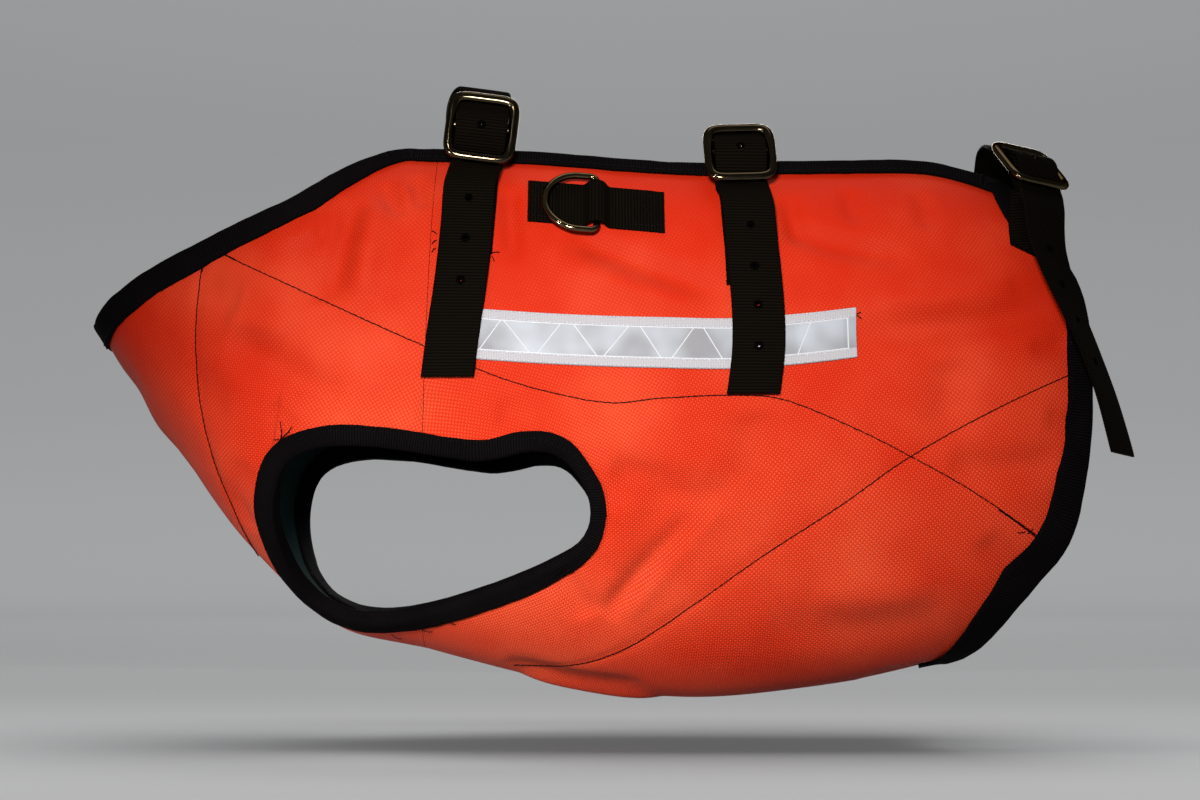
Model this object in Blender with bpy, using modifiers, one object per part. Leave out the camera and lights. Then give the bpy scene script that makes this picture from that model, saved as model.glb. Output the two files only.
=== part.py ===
"""Armoured dog vest: quilted ballistic-cloth panels round a hollow chest, bound with tape,
closed over the back by three buckled webbing straps, with a D-ring and a reflective strip.

Frame: +X runs to the tail, the wearer's left side is at -Y, +Z is up. The origin is where
the wearer's back meets the underside of the middle strap. Sizes below are in millimetres.
"""
import math

import bmesh
import bpy
from mathutils import Matrix, Vector

MM = 0.001

# ---------------------------------------------------------------- driving dimensions
PANEL_THICKNESS = 2.6
LINING_THICKNESS = 1.0
TAPE_THICKNESS = 1.0
WEBBING_THICKNESS = 1.5
WEBBING_WIDTH = 25.0
CLEARANCE = 0.3

HOLE_BINDING_WIDTH = 7.3
HOLE_BINDING_NARROWING = 2.8
# Visible width of the edge tape at each angle of the neck, the spine and the rear edge.
NECK_TAPE = ((0, 11.0), (90, 10.5), (155, 10.5))
REAR_TAPE = ((0, 17.0), (40, 17.0), (62, 14.0), (90, 10.5), (155, 10.5))
BINDING_LIFT = 0.9
BINDING_NOSE = 2.6
BINDING_NOSE_FLAT = (0.2, 0.8)
LINING_TO_BINDING = 1.6

SPINE_ANGLE = 155.0
SEAM_STATION = 258.0
SEAM_X = -158.0
# Keel distances that lie on the skin, for the search of a point by its side view.
SKIN_ENDS = (1.0, 594.0)
SEARCH_STEPS = 40
LARGEST_STEP = (40.0, 25.0)

# One row for each girth of the body, from the chest to the tail: its name, the x and z of
# its keel (its lowest point), the tilt of its plane, its height, its half width, how far
# its sides swell, and how far that swell shifts towards the keel.
STATIONS = (
    ("prow", -334, -85, 57, 95, 40, 0.15, 0.00),
    ("tip", -325, -99, 59, 107, 47, 0.15, 0.00),
    ("breast", -299, -140, 64, 147, 60, 0.18, 0.00),
    ("brisket", -273, -175, 70, 178, 73, 0.20, 0.00),
    ("fore", -246, -210, 77, 207, 81, 0.20, 0.00),
    ("leg", -201, -250, 84, 246, 84, 0.20, 0.00),
    ("seam", -161, -260, 88, 255, 85, 0.20, 0.00),
    ("sternum", -101, -275, 90, 269, 87, 0.20, 0.00),
    ("rib", -31, -285, 90, 274, 88, 0.20, 0.00),
    ("belly", 34, -280, 90, 270, 86, 0.20, 0.05),
    ("loin", 94, -269, 90, 258, 82, 0.20, 0.08),
    ("flank", 139, -255, 90, 230, 76, 0.20, 0.10),
    ("stern", 171, -242, 90, 217, 66, 0.20, 0.10),
)

# Panel edges: the angle round the girth (0 at the keel) and the keel distance there.
NECK_EDGE = (
    (-12, 20), (0, 17), (12, 20), (41, 25), (55, 30), (77, 43), (98, 66),
    (114, 94), (130, 136), (147, 187), (152, 212), (155, 230),
)
REAR_EDGE = (
    (-19, 536), (0, 525), (19, 536), (37, 551), (51, 572), (71, 581), (82, 584),
    (96, 584), (110, 583), (121, 577), (130, 567), (141, 556), (155, 549),
)

# Edge of the armhole in side view, clockwise from its front.
ARMHOLE = (
    ("front", -229, -197), ("front_high", -221, -169.5), ("top_front", -201, -161),
    ("top", -172, -161.5), ("top_sag", -140, -166.5), ("top_rear", -116, -167),
    ("crown", -101, -162.5), ("rear_high", -84.5, -169), ("rear", -73, -190),
    ("rear_low", -77, -209), ("under_rear", -98, -222), ("under", -131, -235.5),
    ("under_fore", -166, -245.5), ("front_under", -193, -246.5), ("front_low", -218, -231.5),
)

# The panels are divided at the armhole's front and rear, where these angles meet the edges.
FRONT_DIVIDE = 50.0
REAR_DIVIDE = 74.0
NECK_SHOULDER = 84.0
ARC_COLUMNS = 6
FRONT_COLUMNS = 5
BODY_COLUMNS = 10
ROWS_BELOW = 7
ROWS_ABOVE = 7

# Reflective strip: rows along it, in side view.
REFLECTIVE_ROWS = (
    (-132, -97.5, -123), (-100, -100, -125), (-70, -101.6, -126.3), (-40, -103.2, -126.4),
    (-12, -104.4, -126), (12, -103.6, -124), (32, -102.4, -121.3), (50, -101, -118),
)

BUCKLE_HALF_WIDTH = 15.9
BUCKLE_HALF_LENGTH = 15.9
BUCKLE_SQUARENESS = 6.0
BUCKLE_WIRE = 2.05
BUCKLE_BAR = 1.5
PRONG_RING = 2.7
PRONG_WIRE = 0.9
PRONG_TIP = 5.6
PRONG_HOLE = 2.0
PRONG_SLOT = (3.2, 12.0, 14.0)
HOLE_RADIUS = 2.0
HOLE_PITCH = 20.0
HOLE_SIDES = 12
PUNCH_LENGTH = 8.0

RING_AT = (-72.5, -47.5)
RING_WIRE = 1.65
RING_HALF_WIDTH = 16.3
RING_DEPTH = 25.0
RING_CORNER = 3.2
RING_REST_TILT = 6.0
RING_BAR_LIFT = 2.1
RING_STRIP_FALL = 0.09
RING_LOOP_SPARE = 1.4


# ---------------------------------------------------------------- smooth tables
def tangents(xs, ys):
    """Slopes that carry a smooth curve through the rows of a table."""
    last = len(xs) - 1
    slopes = []
    for i in range(last + 1):
        a = max(i - 1, 0)
        b = min(i + 1, last)
        slopes.append((ys[b] - ys[a]) / (xs[b] - xs[a]))
    return slopes


def spline_weights(t):
    """Shares of four rows in a smooth curve, a part t of the way from the second to the third."""
    return (
        -0.5 * t + t * t - 0.5 * t ** 3,
        1 - 2.5 * t * t + 1.5 * t ** 3,
        0.5 * t + 2 * t * t - 1.5 * t ** 3,
        -0.5 * t * t + 0.5 * t ** 3,
    )


def smooth(xs, ys, slopes, x):
    """Value at x of the smooth curve through the rows."""
    x = min(max(x, xs[0]), xs[-1])
    i = 0
    while i < len(xs) - 2 and x > xs[i + 1]:
        i += 1
    h = xs[i + 1] - xs[i]
    t = (x - xs[i]) / h
    t2 = t * t
    t3 = t2 * t
    start = (2 * t3 - 3 * t2 + 1) * ys[i] + (t3 - 2 * t2 + t) * h * slopes[i]
    end = (3 * t2 - 2 * t3) * ys[i + 1] + (t3 - t2) * h * slopes[i + 1]
    return start + end


class Table:
    """A table read as smooth curves against its first column."""

    def __init__(self, keys, columns):
        self.keys = keys
        self.columns = [(ys, tangents(keys, ys)) for ys in columns]

    def at(self, key):
        return [smooth(self.keys, ys, slopes, key) for ys, slopes in self.columns]


def keel_distances():
    """Distance along the keel of each station."""
    total = 0.0
    out = [total]
    for before, after in zip(STATIONS, STATIONS[1:]):
        total += math.hypot(after[1] - before[1], after[2] - before[2])
        out.append(total)
    return out


GIRTHS = Table(keel_distances(), [[row[c] for row in STATIONS] for c in range(1, 8)])
NECK = Table([row[0] for row in NECK_EDGE], [[row[1] for row in NECK_EDGE]])
REAR = Table([row[0] for row in REAR_EDGE], [[row[1] for row in REAR_EDGE]])


# ---------------------------------------------------------------- the body's skin
def bare_skin(p, angle):
    """Point on the left outer face, at keel distance p and an angle round the girth."""
    keel_x, keel_z, tilt, height, half_width, fullness, low_bias = GIRTHS.at(p)
    turn = math.radians(angle)
    rise = height * (1 - math.cos(turn)) / 2
    swell = 1 + fullness * math.cos(turn) ** 2
    bias = 1 + low_bias * math.cos(turn)
    slope = math.radians(tilt)
    return Vector((
        keel_x + rise * math.cos(slope),
        -half_width * math.sin(turn) * swell * bias,
        keel_z + rise * math.sin(slope),
    ))


def slopes_at(p, angle):
    """Change of the skin point with keel distance and with angle."""
    along = (bare_skin(p + 0.5, angle) - bare_skin(p - 0.5, angle))
    round_ = (bare_skin(p, angle + 0.5) - bare_skin(p, angle - 0.5))
    return along, round_


def outward(p, angle):
    """Direction out of the skin."""
    along, round_ = slopes_at(p, angle)
    return along.cross(round_).normalized()


def skin(p, angle, lift=0.0):
    """Point on the skin, moved out by lift."""
    point = bare_skin(p, angle) + outward(p, angle) * lift
    if angle == 0:
        point.y = 0.0
    return point


def locate(x, z):
    """Keel distance and angle of the skin point that the side view shows at x, z."""
    lowest, highest = SKIN_ENDS
    most_p, most_a = LARGEST_STEP
    p = min(max(SEAM_STATION + x - SEAM_X, lowest + 30), highest - 14)
    angle = 90.0
    for _ in range(SEARCH_STEPS):
        here = bare_skin(p, angle)
        along, round_ = slopes_at(p, angle)
        det = along.x * round_.z - along.z * round_.x
        miss_x = x - here.x
        miss_z = z - here.z
        step_p = (miss_x * round_.z - miss_z * round_.x) / det
        step_a = (miss_z * along.x - miss_x * along.z) / det
        p = min(max(p + min(max(step_p, -most_p), most_p), lowest), highest)
        angle = min(max(angle + min(max(step_a, -most_a), most_a), 1), 170)
    return p, angle


def skin_at(x, z, lift, side=-1):
    """Skin point by side view; side -1 is the wearer's left, +1 the right."""
    point = skin(*locate(x, z), lift)
    return Vector((point.x, -side * point.y, point.z))


# ---------------------------------------------------------------- edges of the panels
def armhole_curve(steps=8):
    """Closed smooth outline of the armhole as keel distance and angle."""
    count = len(ARMHOLE)
    out = []
    for i in range(count):
        rows = [ARMHOLE[(i + k) % count] for k in (-1, 0, 1, 2)]
        for k in range(steps):
            weights = spline_weights(k / steps)
            x = sum(w * row[1] for w, row in zip(weights, rows))
            z = sum(w * row[2] for w, row in zip(weights, rows))
            out.append(locate(x, z))
    return out


def resample(points, count):
    """count + 1 points evenly spaced along a line of (p, angle) points."""
    places = [bare_skin(*q) for q in points]
    reach = [0.0]
    for a, b in zip(places, places[1:]):
        reach.append(reach[-1] + (b - a).length)
    out = []
    i = 0
    for k in range(count + 1):
        want = reach[-1] * k / count
        while i < len(points) - 2 and reach[i + 1] < want:
            i += 1
        t = (want - reach[i]) / (reach[i + 1] - reach[i])
        out.append(tuple(a + (b - a) * t for a, b in zip(points[i], points[i + 1])))
    return out


def arcs_of_armhole():
    """Four stretches of the armhole between the seam and its foremost and rearmost points."""
    ring = armhole_curve()
    count = len(ring)
    names = [row[0] for row in ARMHOLE]
    steps = count // len(ARMHOLE)
    front = names.index("front") * steps
    rear = names.index("rear") * steps

    def walk(start, step):
        """From start to where the armhole meets the seam."""
        out = [ring[start]]
        i = start
        while True:
            here = ring[i]
            ahead = ring[(i + step) % count]
            if (here[0] - SEAM_STATION) * (ahead[0] - SEAM_STATION) <= 0:
                t = (SEAM_STATION - here[0]) / (ahead[0] - here[0])
                out.append((SEAM_STATION, here[1] + (ahead[1] - here[1]) * t))
                return resample(out, ARC_COLUMNS)
            i = (i + step) % count
            out.append(ring[i])

    return walk(front, -1), walk(front, 1), walk(rear, 1), walk(rear, -1)


def span(a, b, count):
    """count + 1 values from a to b."""
    return [a + (b - a) * k / count for k in range(count + 1)]


def line(a, b, count):
    """count + 1 (p, angle) points from a to b."""
    return list(zip(span(a[0], b[0], count), span(a[1], b[1], count)))


def edge_line(table, a, b, count):
    """count + 1 points along a panel's edge from angle a to angle b."""
    return resample([(table.at(angle)[0], angle) for angle in span(a, b, 40)], count)


def patch(bottom, top, left, right):
    """Rows of (p, angle) points that fill four edges."""
    rows = []
    for i, (lower_side, upper_side) in enumerate(zip(left, right)):
        v = i / (len(left) - 1)
        row = []
        for k, (low, high) in enumerate(zip(bottom, top)):
            u = k / (len(bottom) - 1)
            row.append(tuple(
                (1 - v) * low[c] + v * high[c] + (1 - u) * lower_side[c] + u * upper_side[c]
                - (1 - u) * ((1 - v) * bottom[0][c] + v * top[0][c])
                - u * ((1 - v) * bottom[-1][c] + v * top[-1][c])
                for c in (0, 1)))
        rows.append(row)
    return rows


def at_seam(points, side):
    """The same points, half a clearance to one side of the seam where they lie on it."""
    shift = side * CLEARANCE / 2
    return [(p + shift if abs(p - SEAM_STATION) < 0.01 else p, angle) for p, angle in points]


UNDER_FRONT, OVER_FRONT, UNDER_REAR, OVER_REAR = arcs_of_armhole()
HOLE_BOTTOM = UNDER_FRONT[-1]
HOLE_TOP = OVER_FRONT[-1]
SPINE_FRONT = (NECK_EDGE[-1][1], SPINE_ANGLE)
SPINE_REAR = (REAR_EDGE[-1][1], SPINE_ANGLE)


def front_patches():
    """The front panel below and above a line from the neck to the armhole."""
    divide = line((NECK.at(FRONT_DIVIDE)[0], FRONT_DIVIDE), UNDER_FRONT[0], FRONT_COLUMNS)
    columns = FRONT_COLUMNS + ARC_COLUMNS
    low = patch(
        line((NECK.at(0)[0], 0), (SEAM_STATION, 0), columns),
        divide + UNDER_FRONT[1:],
        edge_line(NECK, 0, FRONT_DIVIDE, ROWS_BELOW),
        line((SEAM_STATION, 0), HOLE_BOTTOM, ROWS_BELOW))
    neck = edge_line(NECK, NECK_SHOULDER, SPINE_ANGLE, columns - 2)
    high = patch(
        divide + OVER_FRONT[1:],
        neck + line(SPINE_FRONT, (SEAM_STATION, SPINE_ANGLE), 2)[1:],
        edge_line(NECK, FRONT_DIVIDE, NECK_SHOULDER, ROWS_ABOVE),
        line(HOLE_TOP, (SEAM_STATION, SPINE_ANGLE), ROWS_ABOVE))
    return [[at_seam(row, -1) for row in part] for part in (low, high)]


def body_patches():
    """The body panel below and above a line from the armhole to the rear edge."""
    divide = line(UNDER_REAR[0], (REAR.at(REAR_DIVIDE)[0], REAR_DIVIDE), BODY_COLUMNS)
    columns = BODY_COLUMNS + ARC_COLUMNS
    low = patch(
        line((SEAM_STATION, 0), (REAR.at(0)[0], 0), columns),
        UNDER_REAR[::-1] + divide[1:],
        line((SEAM_STATION, 0), HOLE_BOTTOM, ROWS_BELOW),
        edge_line(REAR, 0, REAR_DIVIDE, ROWS_BELOW))
    high = patch(
        OVER_REAR[::-1] + divide[1:],
        line((SEAM_STATION, SPINE_ANGLE), SPINE_REAR, columns),
        line(HOLE_TOP, (SEAM_STATION, SPINE_ANGLE), ROWS_ABOVE),
        edge_line(REAR, REAR_DIVIDE, SPINE_ANGLE, ROWS_ABOVE))
    return [[at_seam(row, 1) for row in part] for part in (low, high)]


def perimeter():
    """The bound edge of the left half: up the neck, along the spine and down the rear."""
    front_low, front_high = front_patches()
    body_low, body_high = body_patches()
    up = [row[0] for row in front_low] + [row[0] for row in front_high[1:]]
    along = front_high[-1][1:-1] + [(SEAM_STATION, SPINE_ANGLE)] + body_high[-1][1:-1]
    down = [row[-1] for row in body_high[::-1]] + [row[-1] for row in body_low[::-1][1:]]
    return up + along + down


# ---------------------------------------------------------------- scene and materials
for leftover in list(bpy.data.objects):
    bpy.data.objects.remove(leftover, do_unlink=True)

PARTS = bpy.data.collections.new("armored_dog_vest")
CUTTERS = bpy.data.collections.new("cutters")
bpy.context.scene.collection.children.link(PARTS)
bpy.context.scene.collection.children.link(CUTTERS)


def finish(name, colour, roughness, metallic=0.0):
    """A plain material of one finish."""
    material = bpy.data.materials.new(name)
    material.use_nodes = True
    shader = material.node_tree.nodes["Principled BSDF"]
    shader.inputs["Base Color"].default_value = (*colour, 1.0)
    shader.inputs["Roughness"].default_value = roughness
    shader.inputs["Metallic"].default_value = metallic
    material.diffuse_color = (*colour, 1.0)
    return material


def place(name, mesh, material):
    piece = bpy.data.objects.new(name, mesh)
    piece.data.materials.append(material)
    PARTS.objects.link(piece)
    return piece


def grid_mesh(name, rows, closed=False):
    """Quads between rows of points; closed joins the last row to the first."""
    mesh = bpy.data.meshes.new(name)
    build = bmesh.new()
    verts = [[build.verts.new(point * MM) for point in row] for row in rows]
    pairs = list(zip(verts, verts[1:]))
    if closed:
        pairs.append((verts[-1], verts[0]))
    for low, high in pairs:
        for k in range(len(low) - 1):
            build.faces.new((low[k], low[k + 1], high[k + 1], high[k]))
    build.to_mesh(mesh)
    build.free()
    return mesh


def thicken(piece, thickness, offset):
    shell = piece.modifiers.new("thickness", "SOLIDIFY")
    shell.thickness = thickness * MM
    shell.offset = offset
    shell.use_even_offset = True


def mirror_across(piece):
    """Adds the other half, across the wearer's middle."""
    mirror = piece.modifiers.new("other side", "MIRROR")
    mirror.use_axis = (False, True, False)
    mirror.merge_threshold = 0.0001


# ---------------------------------------------------------------- panels and lining
def panel(name, patches, lift, thickness, material):
    """Both sides of a panel, from the patches of its left half."""
    mesh = bpy.data.meshes.new(name)
    build = bmesh.new()
    for rows in patches:
        verts = [[build.verts.new(skin(*q, lift) * MM) for q in row] for row in rows]
        for low, high in zip(verts, verts[1:]):
            for k in range(len(low) - 1):
                build.faces.new((low[k], low[k + 1], high[k + 1], high[k]))
    bmesh.ops.remove_doubles(build, verts=build.verts, dist=0.00001)
    build.to_mesh(mesh)
    build.free()
    piece = place(name, mesh, material)
    mirror_across(piece)
    thicken(piece, thickness, -1)
    return piece


shell_cloth = finish("ballistic cloth, orange red", (0.78, 0.06, 0.02), 0.6)
lining_cloth = finish("lining cloth, dark green", (0.02, 0.05, 0.045), 0.75)
lining_lift = -(PANEL_THICKNESS + CLEARANCE)
panel("front_panel", front_patches(), 0.0, PANEL_THICKNESS, shell_cloth)
panel("body_panel", body_patches(), 0.0, PANEL_THICKNESS, shell_cloth)
panel("front_lining", front_patches(), lining_lift, LINING_THICKNESS, lining_cloth)
panel("body_lining", body_patches(), lining_lift, LINING_THICKNESS, lining_cloth)


# ---------------------------------------------------------------- bindings
def inset_step(p, angle, inward):
    """Change of keel distance and angle that moves a skin point 1 mm inward."""
    along, round_ = slopes_at(p, angle)
    aa = along.dot(along)
    ar = along.dot(round_)
    rr = round_.dot(round_)
    da = along.dot(inward)
    dr = round_.dot(inward)
    det = aa * rr - ar * ar
    return (da * rr - dr * ar) / det, (dr * aa - da * ar) / det


def binding_profile(width):
    """Tape folded over an edge: inset from the edge and lift, from outside to inside."""
    out = BINDING_LIFT + TAPE_THICKNESS
    stack = PANEL_THICKNESS + CLEARANCE + LINING_THICKNESS
    back = -(stack + LINING_TO_BINDING + TAPE_THICKNESS)
    high, low = BINDING_NOSE_FLAT
    return (
        (width, out), (width / 2, out), (0, out),
        (-BINDING_NOSE, out * high), (-BINDING_NOSE, back * low), (0, back), (width, back),
    )


def binding_rows(edge, widths, closed, inside):
    """Sections of the folded tape along an edge; inside is +1 or -1 for the panel's side."""
    places = [bare_skin(*q) for q in edge]
    count = len(edge)
    rows = []
    for i, (p, angle) in enumerate(edge):
        before = places[i - 1] if closed or i else places[0]
        after = places[(i + 1) % count] if closed or i < count - 1 else places[-1]
        arrive = (places[i] - before).normalized() if before != places[i] else None
        leave = (after - places[i]).normalized() if after != places[i] else None
        if arrive is None or leave is None:
            run = Vector((0, (arrive or leave).y, 0)).normalized()
            stretch = 1.0
        else:
            run = (arrive + leave).normalized()
            stretch = 1 / max(run.dot(arrive), 0.75)
        inward = outward(p, angle).cross(run).normalized() * inside
        step_p, step_a = inset_step(p, angle, inward * stretch)
        row = [skin(p + step_p * inset, angle + step_a * inset, lift)
               for inset, lift in binding_profile(widths[i])]
        rows.append(row[::-1] if inside < 0 else row)
        if angle == 0:
            for point in rows[-1]:
                point.y = 0.0
    return rows


def other_side(rows):
    return [[Vector((q.x, -q.y, q.z)) for q in row] for row in rows]


binding_tape = finish("grosgrain tape, black", (0.012, 0.01, 0.011), 0.8)
neck_tape = Table([row[0] for row in NECK_TAPE], [[row[1] for row in NECK_TAPE]])
rear_tape = Table([row[0] for row in REAR_TAPE], [[row[1] for row in REAR_TAPE]])
bound = perimeter()
tape_widths = [(neck_tape if p < SEAM_STATION else rear_tape).at(angle)[0] for p, angle in bound]
edge_binding = place("edge_binding",
                     grid_mesh("edge_binding", binding_rows(bound, tape_widths, False, -1)),
                     binding_tape)
mirror_across(edge_binding)
thicken(edge_binding, TAPE_THICKNESS, -1)

hole_edge = UNDER_FRONT[::-1] + OVER_FRONT[1:] + OVER_REAR[::-1][1:] + UNDER_REAR[1:-1]
rearmost = max(p for p, _ in hole_edge)
hole_widths = [HOLE_BINDING_WIDTH - HOLE_BINDING_NARROWING * max(0.0, 1 - (rearmost - p) / 30)
               for p, _ in hole_edge]
hole_rows = binding_rows(hole_edge, hole_widths, True, 1)
for node, rows in (("left_armhole_binding", hole_rows),
                   ("right_armhole_binding", [row[::-1] for row in other_side(hole_rows)])):
    thicken(place(node, grid_mesh(node, rows, closed=True), binding_tape), TAPE_THICKNESS, -1)


# ---------------------------------------------------------------- reflective strip
def reflective_strip():
    table = Table([row[0] for row in REFLECTIVE_ROWS],
                  [[row[1] for row in REFLECTIVE_ROWS], [row[2] for row in REFLECTIVE_ROWS]])
    rows = []
    for x in span(REFLECTIVE_ROWS[0][0], REFLECTIVE_ROWS[-1][0], 12):
        top, bottom = table.at(x)
        rows.append([skin_at(x, z, CLEARANCE + TAPE_THICKNESS) for z in span(top, bottom, 2)])
    return rows


retro = finish("reflective tape, silver white", (0.75, 0.78, 0.8), 0.35)
thicken(place("reflective_strip", grid_mesh("reflective_strip", reflective_strip()), retro),
        TAPE_THICKNESS, -1)


# ---------------------------------------------------------------- webbing
webbing_black = finish("nylon webbing, black", (0.014, 0.012, 0.012), 0.7)


def flow(sections, steps):
    """Smooth sections between the given pairs of edge points."""
    out = []
    last = len(sections) - 1
    for i in range(last):
        picks = [sections[min(max(i + k, 0), last)] for k in (-1, 0, 1, 2)]
        for k in range(steps):
            weights = spline_weights(k / steps)
            out.append([sum((w * pick[side] for w, pick in zip(weights, picks)), Vector())
                        for side in range(len(picks[0]))])
    out.append(sections[-1])
    return out


def webbing(name, sections, steps=2):
    """A flat strap through sections, each the left and right edge of its middle."""
    rows = flow(sections, steps)
    piece = place(name, grid_mesh(name, rows), webbing_black)
    thicken(piece, WEBBING_THICKNESS, 0)
    return piece


def on_panel(x, z, lift, side=-1, slant=0.0, bank=0.0):
    """Section of a strap across the panel at x, z; slant lowers its right edge, bank lifts its left."""
    half = WEBBING_WIDTH / 2
    return [skin_at(x - half, z + slant / 2, lift + bank, side),
            skin_at(x + half, z - slant / 2, lift, side)]


def free(centre, yaw=0.0, roll=0.0):
    """Section of a strap in the air; yaw turns its right edge to +Y, roll lowers it."""
    half = WEBBING_WIDTH / 2
    turn = math.radians(yaw)
    dip = math.radians(roll)
    width = Vector((math.cos(turn) * math.cos(dip), math.sin(turn) * math.cos(dip), -math.sin(dip)))
    return [Vector(centre) - width * half, Vector(centre) + width * half]


class Frame:
    """Where a buckle sits: its centre, its width, its length down to the near bar, its face."""

    def __init__(self, centre, width, down):
        self.centre = Vector(centre)
        self.width = Vector(width).normalized()
        lengthwise = Vector(down)
        lengthwise -= self.width * lengthwise.dot(self.width)
        self.down = lengthwise.normalized()
        self.face = self.down.cross(self.width).normalized()
        if self.face.y > 0:
            self.face = -self.face

    def at(self, across, down, out):
        return self.centre + self.width * across + self.down * down + self.face * out

    def section(self, down, out):
        half = WEBBING_WIDTH / 2
        return [self.at(-half, down, out), self.at(half, down, out)]

    def matrix(self):
        turned = Matrix((self.width, self.down, -self.face)).transposed().to_4x4()
        return Matrix.Translation(self.centre * MM) @ turned


# Buckle positions: front, middle and rear.
BUCKLES = {
    "front": Frame((-128, -62.5, -8.5), (0.99, 0.04, -0.12), (-0.10, -0.16, -1)),
    "middle": Frame((-3, -56.5, -19.5), (0.995, 0.04, 0.03), (0.03, -0.5, -0.87)),
    "rear": Frame((140.5, -41, -23.5), (0.87, 0.45, -0.10), (0.22, -0.73, -0.64)),
}

# The long strap weaves through the buckle; the base strap loops round its middle bar.
LONG_CREST = 4.8
LONG_THROUGH = (
    (-15.9, -3.7), (-9.5, -0.2), (-4.0, 3.9), (0.0, LONG_CREST), (4.0, 3.9), (9.5, 0.2), (15.9, -3.6),
)
BASE_UP = ((15.9, -7.3), (9.0, -5.3), (4.2, -3.6))
BASE_ROUND = ((0.6, -2.6), (-1.7, -1.95), (-2.6, 0.0), (-1.7, 1.95), (0.4, 2.5), (2.6, 1.6))
BASE_BACK = ((5.2, -0.9), (9.0, -3.3), (14.2, -5.2))

MID = WEBBING_THICKNESS / 2 + CLEARANCE
LAYER = WEBBING_THICKNESS + CLEARANCE
OVER_BINDING = BINDING_LIFT + TAPE_THICKNESS + MID


def local_run(frame, pairs):
    return [frame.section(down, out) for down, out in pairs]


def hole_cutter(name, spot, direction, radius):
    """Round punch through a strap."""
    mesh = bpy.data.meshes.new(name)
    build = bmesh.new()
    bmesh.ops.create_cone(build, cap_ends=True, segments=HOLE_SIDES, radius1=radius * MM,
                          radius2=radius * MM, depth=PUNCH_LENGTH * MM)
    build.to_mesh(mesh)
    build.free()
    return add_cutter(name, mesh, Vector(spot), direction)


def add_cutter(name, mesh, spot, direction):
    cutter = bpy.data.objects.new(name, mesh)
    turn = Vector(direction).to_track_quat("Z", "Y").to_matrix().to_4x4()
    cutter.matrix_world = Matrix.Translation(spot * MM) @ turn
    cutter.hide_render = True
    cutter.display_type = "WIRE"
    CUTTERS.objects.link(cutter)
    return cutter


def cut(piece, cutter):
    boolean = piece.modifiers.new("punch", "BOOLEAN")
    boolean.operation = "DIFFERENCE"
    boolean.solver = "EXACT"
    boolean.object = cutter


def slot_cutter(name, frame):
    """Slot in the base strap's loop for the prong."""
    mesh = bpy.data.meshes.new(name)
    build = bmesh.new()
    bmesh.ops.create_cube(build, size=MM)
    bmesh.ops.scale(build, vec=PRONG_SLOT, verts=build.verts)
    build.to_mesh(mesh)
    build.free()
    cutter = bpy.data.objects.new(name, mesh)
    cutter.matrix_world = frame.matrix()
    cutter.hide_render = True
    cutter.display_type = "WIRE"
    CUTTERS.objects.link(cutter)
    return cutter


def base_strap(place_name, foot):
    """Sewn to the panel at its foot, looped round the buckle's middle bar and turned back."""
    frame = BUCKLES[place_name]
    sections = foot + local_run(frame, BASE_UP + BASE_ROUND + BASE_BACK)
    piece = webbing(f"{place_name}_base_strap", sections)
    cut(piece, slot_cutter(f"{place_name}_slot", frame))
    return piece


def long_strap(place_name, anchor, tail, holes):
    """Sewn to the far panel, over the back, through the buckle, and down as a tail."""
    frame = BUCKLES[place_name]
    sections = anchor + local_run(frame, LONG_THROUGH) + tail
    piece = webbing(f"{place_name}_long_strap", sections)
    cut(piece, hole_cutter(f"{place_name}_hole_0", frame.at(0, 0, LONG_CREST), frame.face, PRONG_HOLE))
    middles = [((a + b) / 2, (b - a).normalized()) for a, b in flow(tail, 8)]
    reach = 0.0
    due = holes[0]
    made = 0
    for (spot, across), (ahead, _) in zip(middles, middles[1:]):
        reach += (ahead - spot).length
        if reach >= due and made < holes[1]:
            made += 1
            due += HOLE_PITCH
            face = across.cross(ahead - spot).normalized()
            cut(piece, hole_cutter(f"{place_name}_hole_{made}", ahead, face, HOLE_RADIUS))
    return piece


base_strap("front", [
    on_panel(-134.5, -72, MID), on_panel(-133.6, -58, MID), on_panel(-132.8, -44, MID + 0.4),
    on_panel(-132.2, -33, OVER_BINDING + 0.6),
])
long_strap(
    "front",
    [on_panel(-142, -84, MID, 1), on_panel(-141.5, -66, MID, 1), on_panel(-141, -48, MID + 0.3, 1),
     on_panel(-140.5, -34, OVER_BINDING + 0.3, 1), free((-140, 50, -13)), free((-139.5, 40, 2)),
     free((-138.5, 22, 12), 3, 3), free((-136, 0, 15), 6, 5), free((-132, -25, 15), 6, 7),
     free((-127.5, -45, 13), 3, 7)],
    [on_panel(-133, -41, OVER_BINDING + 2.6 * LAYER), on_panel(-133.8, -56, MID + 2 * LAYER),
     on_panel(-135, -72, MID + 1.6 * LAYER), on_panel(-137, -90, MID + LAYER),
     on_panel(-139.5, -108, MID + LAYER), on_panel(-142.3, -131, MID + LAYER)],
    (8.0, 3))

base_strap("middle", [
    on_panel(1.5, -87, MID), on_panel(1, -72, MID), on_panel(0, -57, MID + 0.4),
    on_panel(-1, -44, OVER_BINDING + 0.2),
])
long_strap(
    "middle",
    [on_panel(2, -92, MID, 1), on_panel(1.5, -74, MID, 1), on_panel(1, -56, MID + 0.3, 1),
     on_panel(0.5, -42, OVER_BINDING + 0.3, 1), free((0, 44, -18.5)), free((0, 32, -8)),
     free((0, 16, -1)), free((0, 0, 0.75)), free((-1, -16, -0.5)), free((-2.5, -33, -3.6))],
    [on_panel(-0.5, -50, OVER_BINDING + 2.6 * LAYER), on_panel(1, -68, MID + 2 * LAYER),
     on_panel(2.5, -86, MID + 1.6 * LAYER), on_panel(3.6, -104, MID + LAYER),
     on_panel(3.2, -121, MID + LAYER), on_panel(0.8, -139, MID + LAYER)],
    (12.0, 4))

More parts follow.
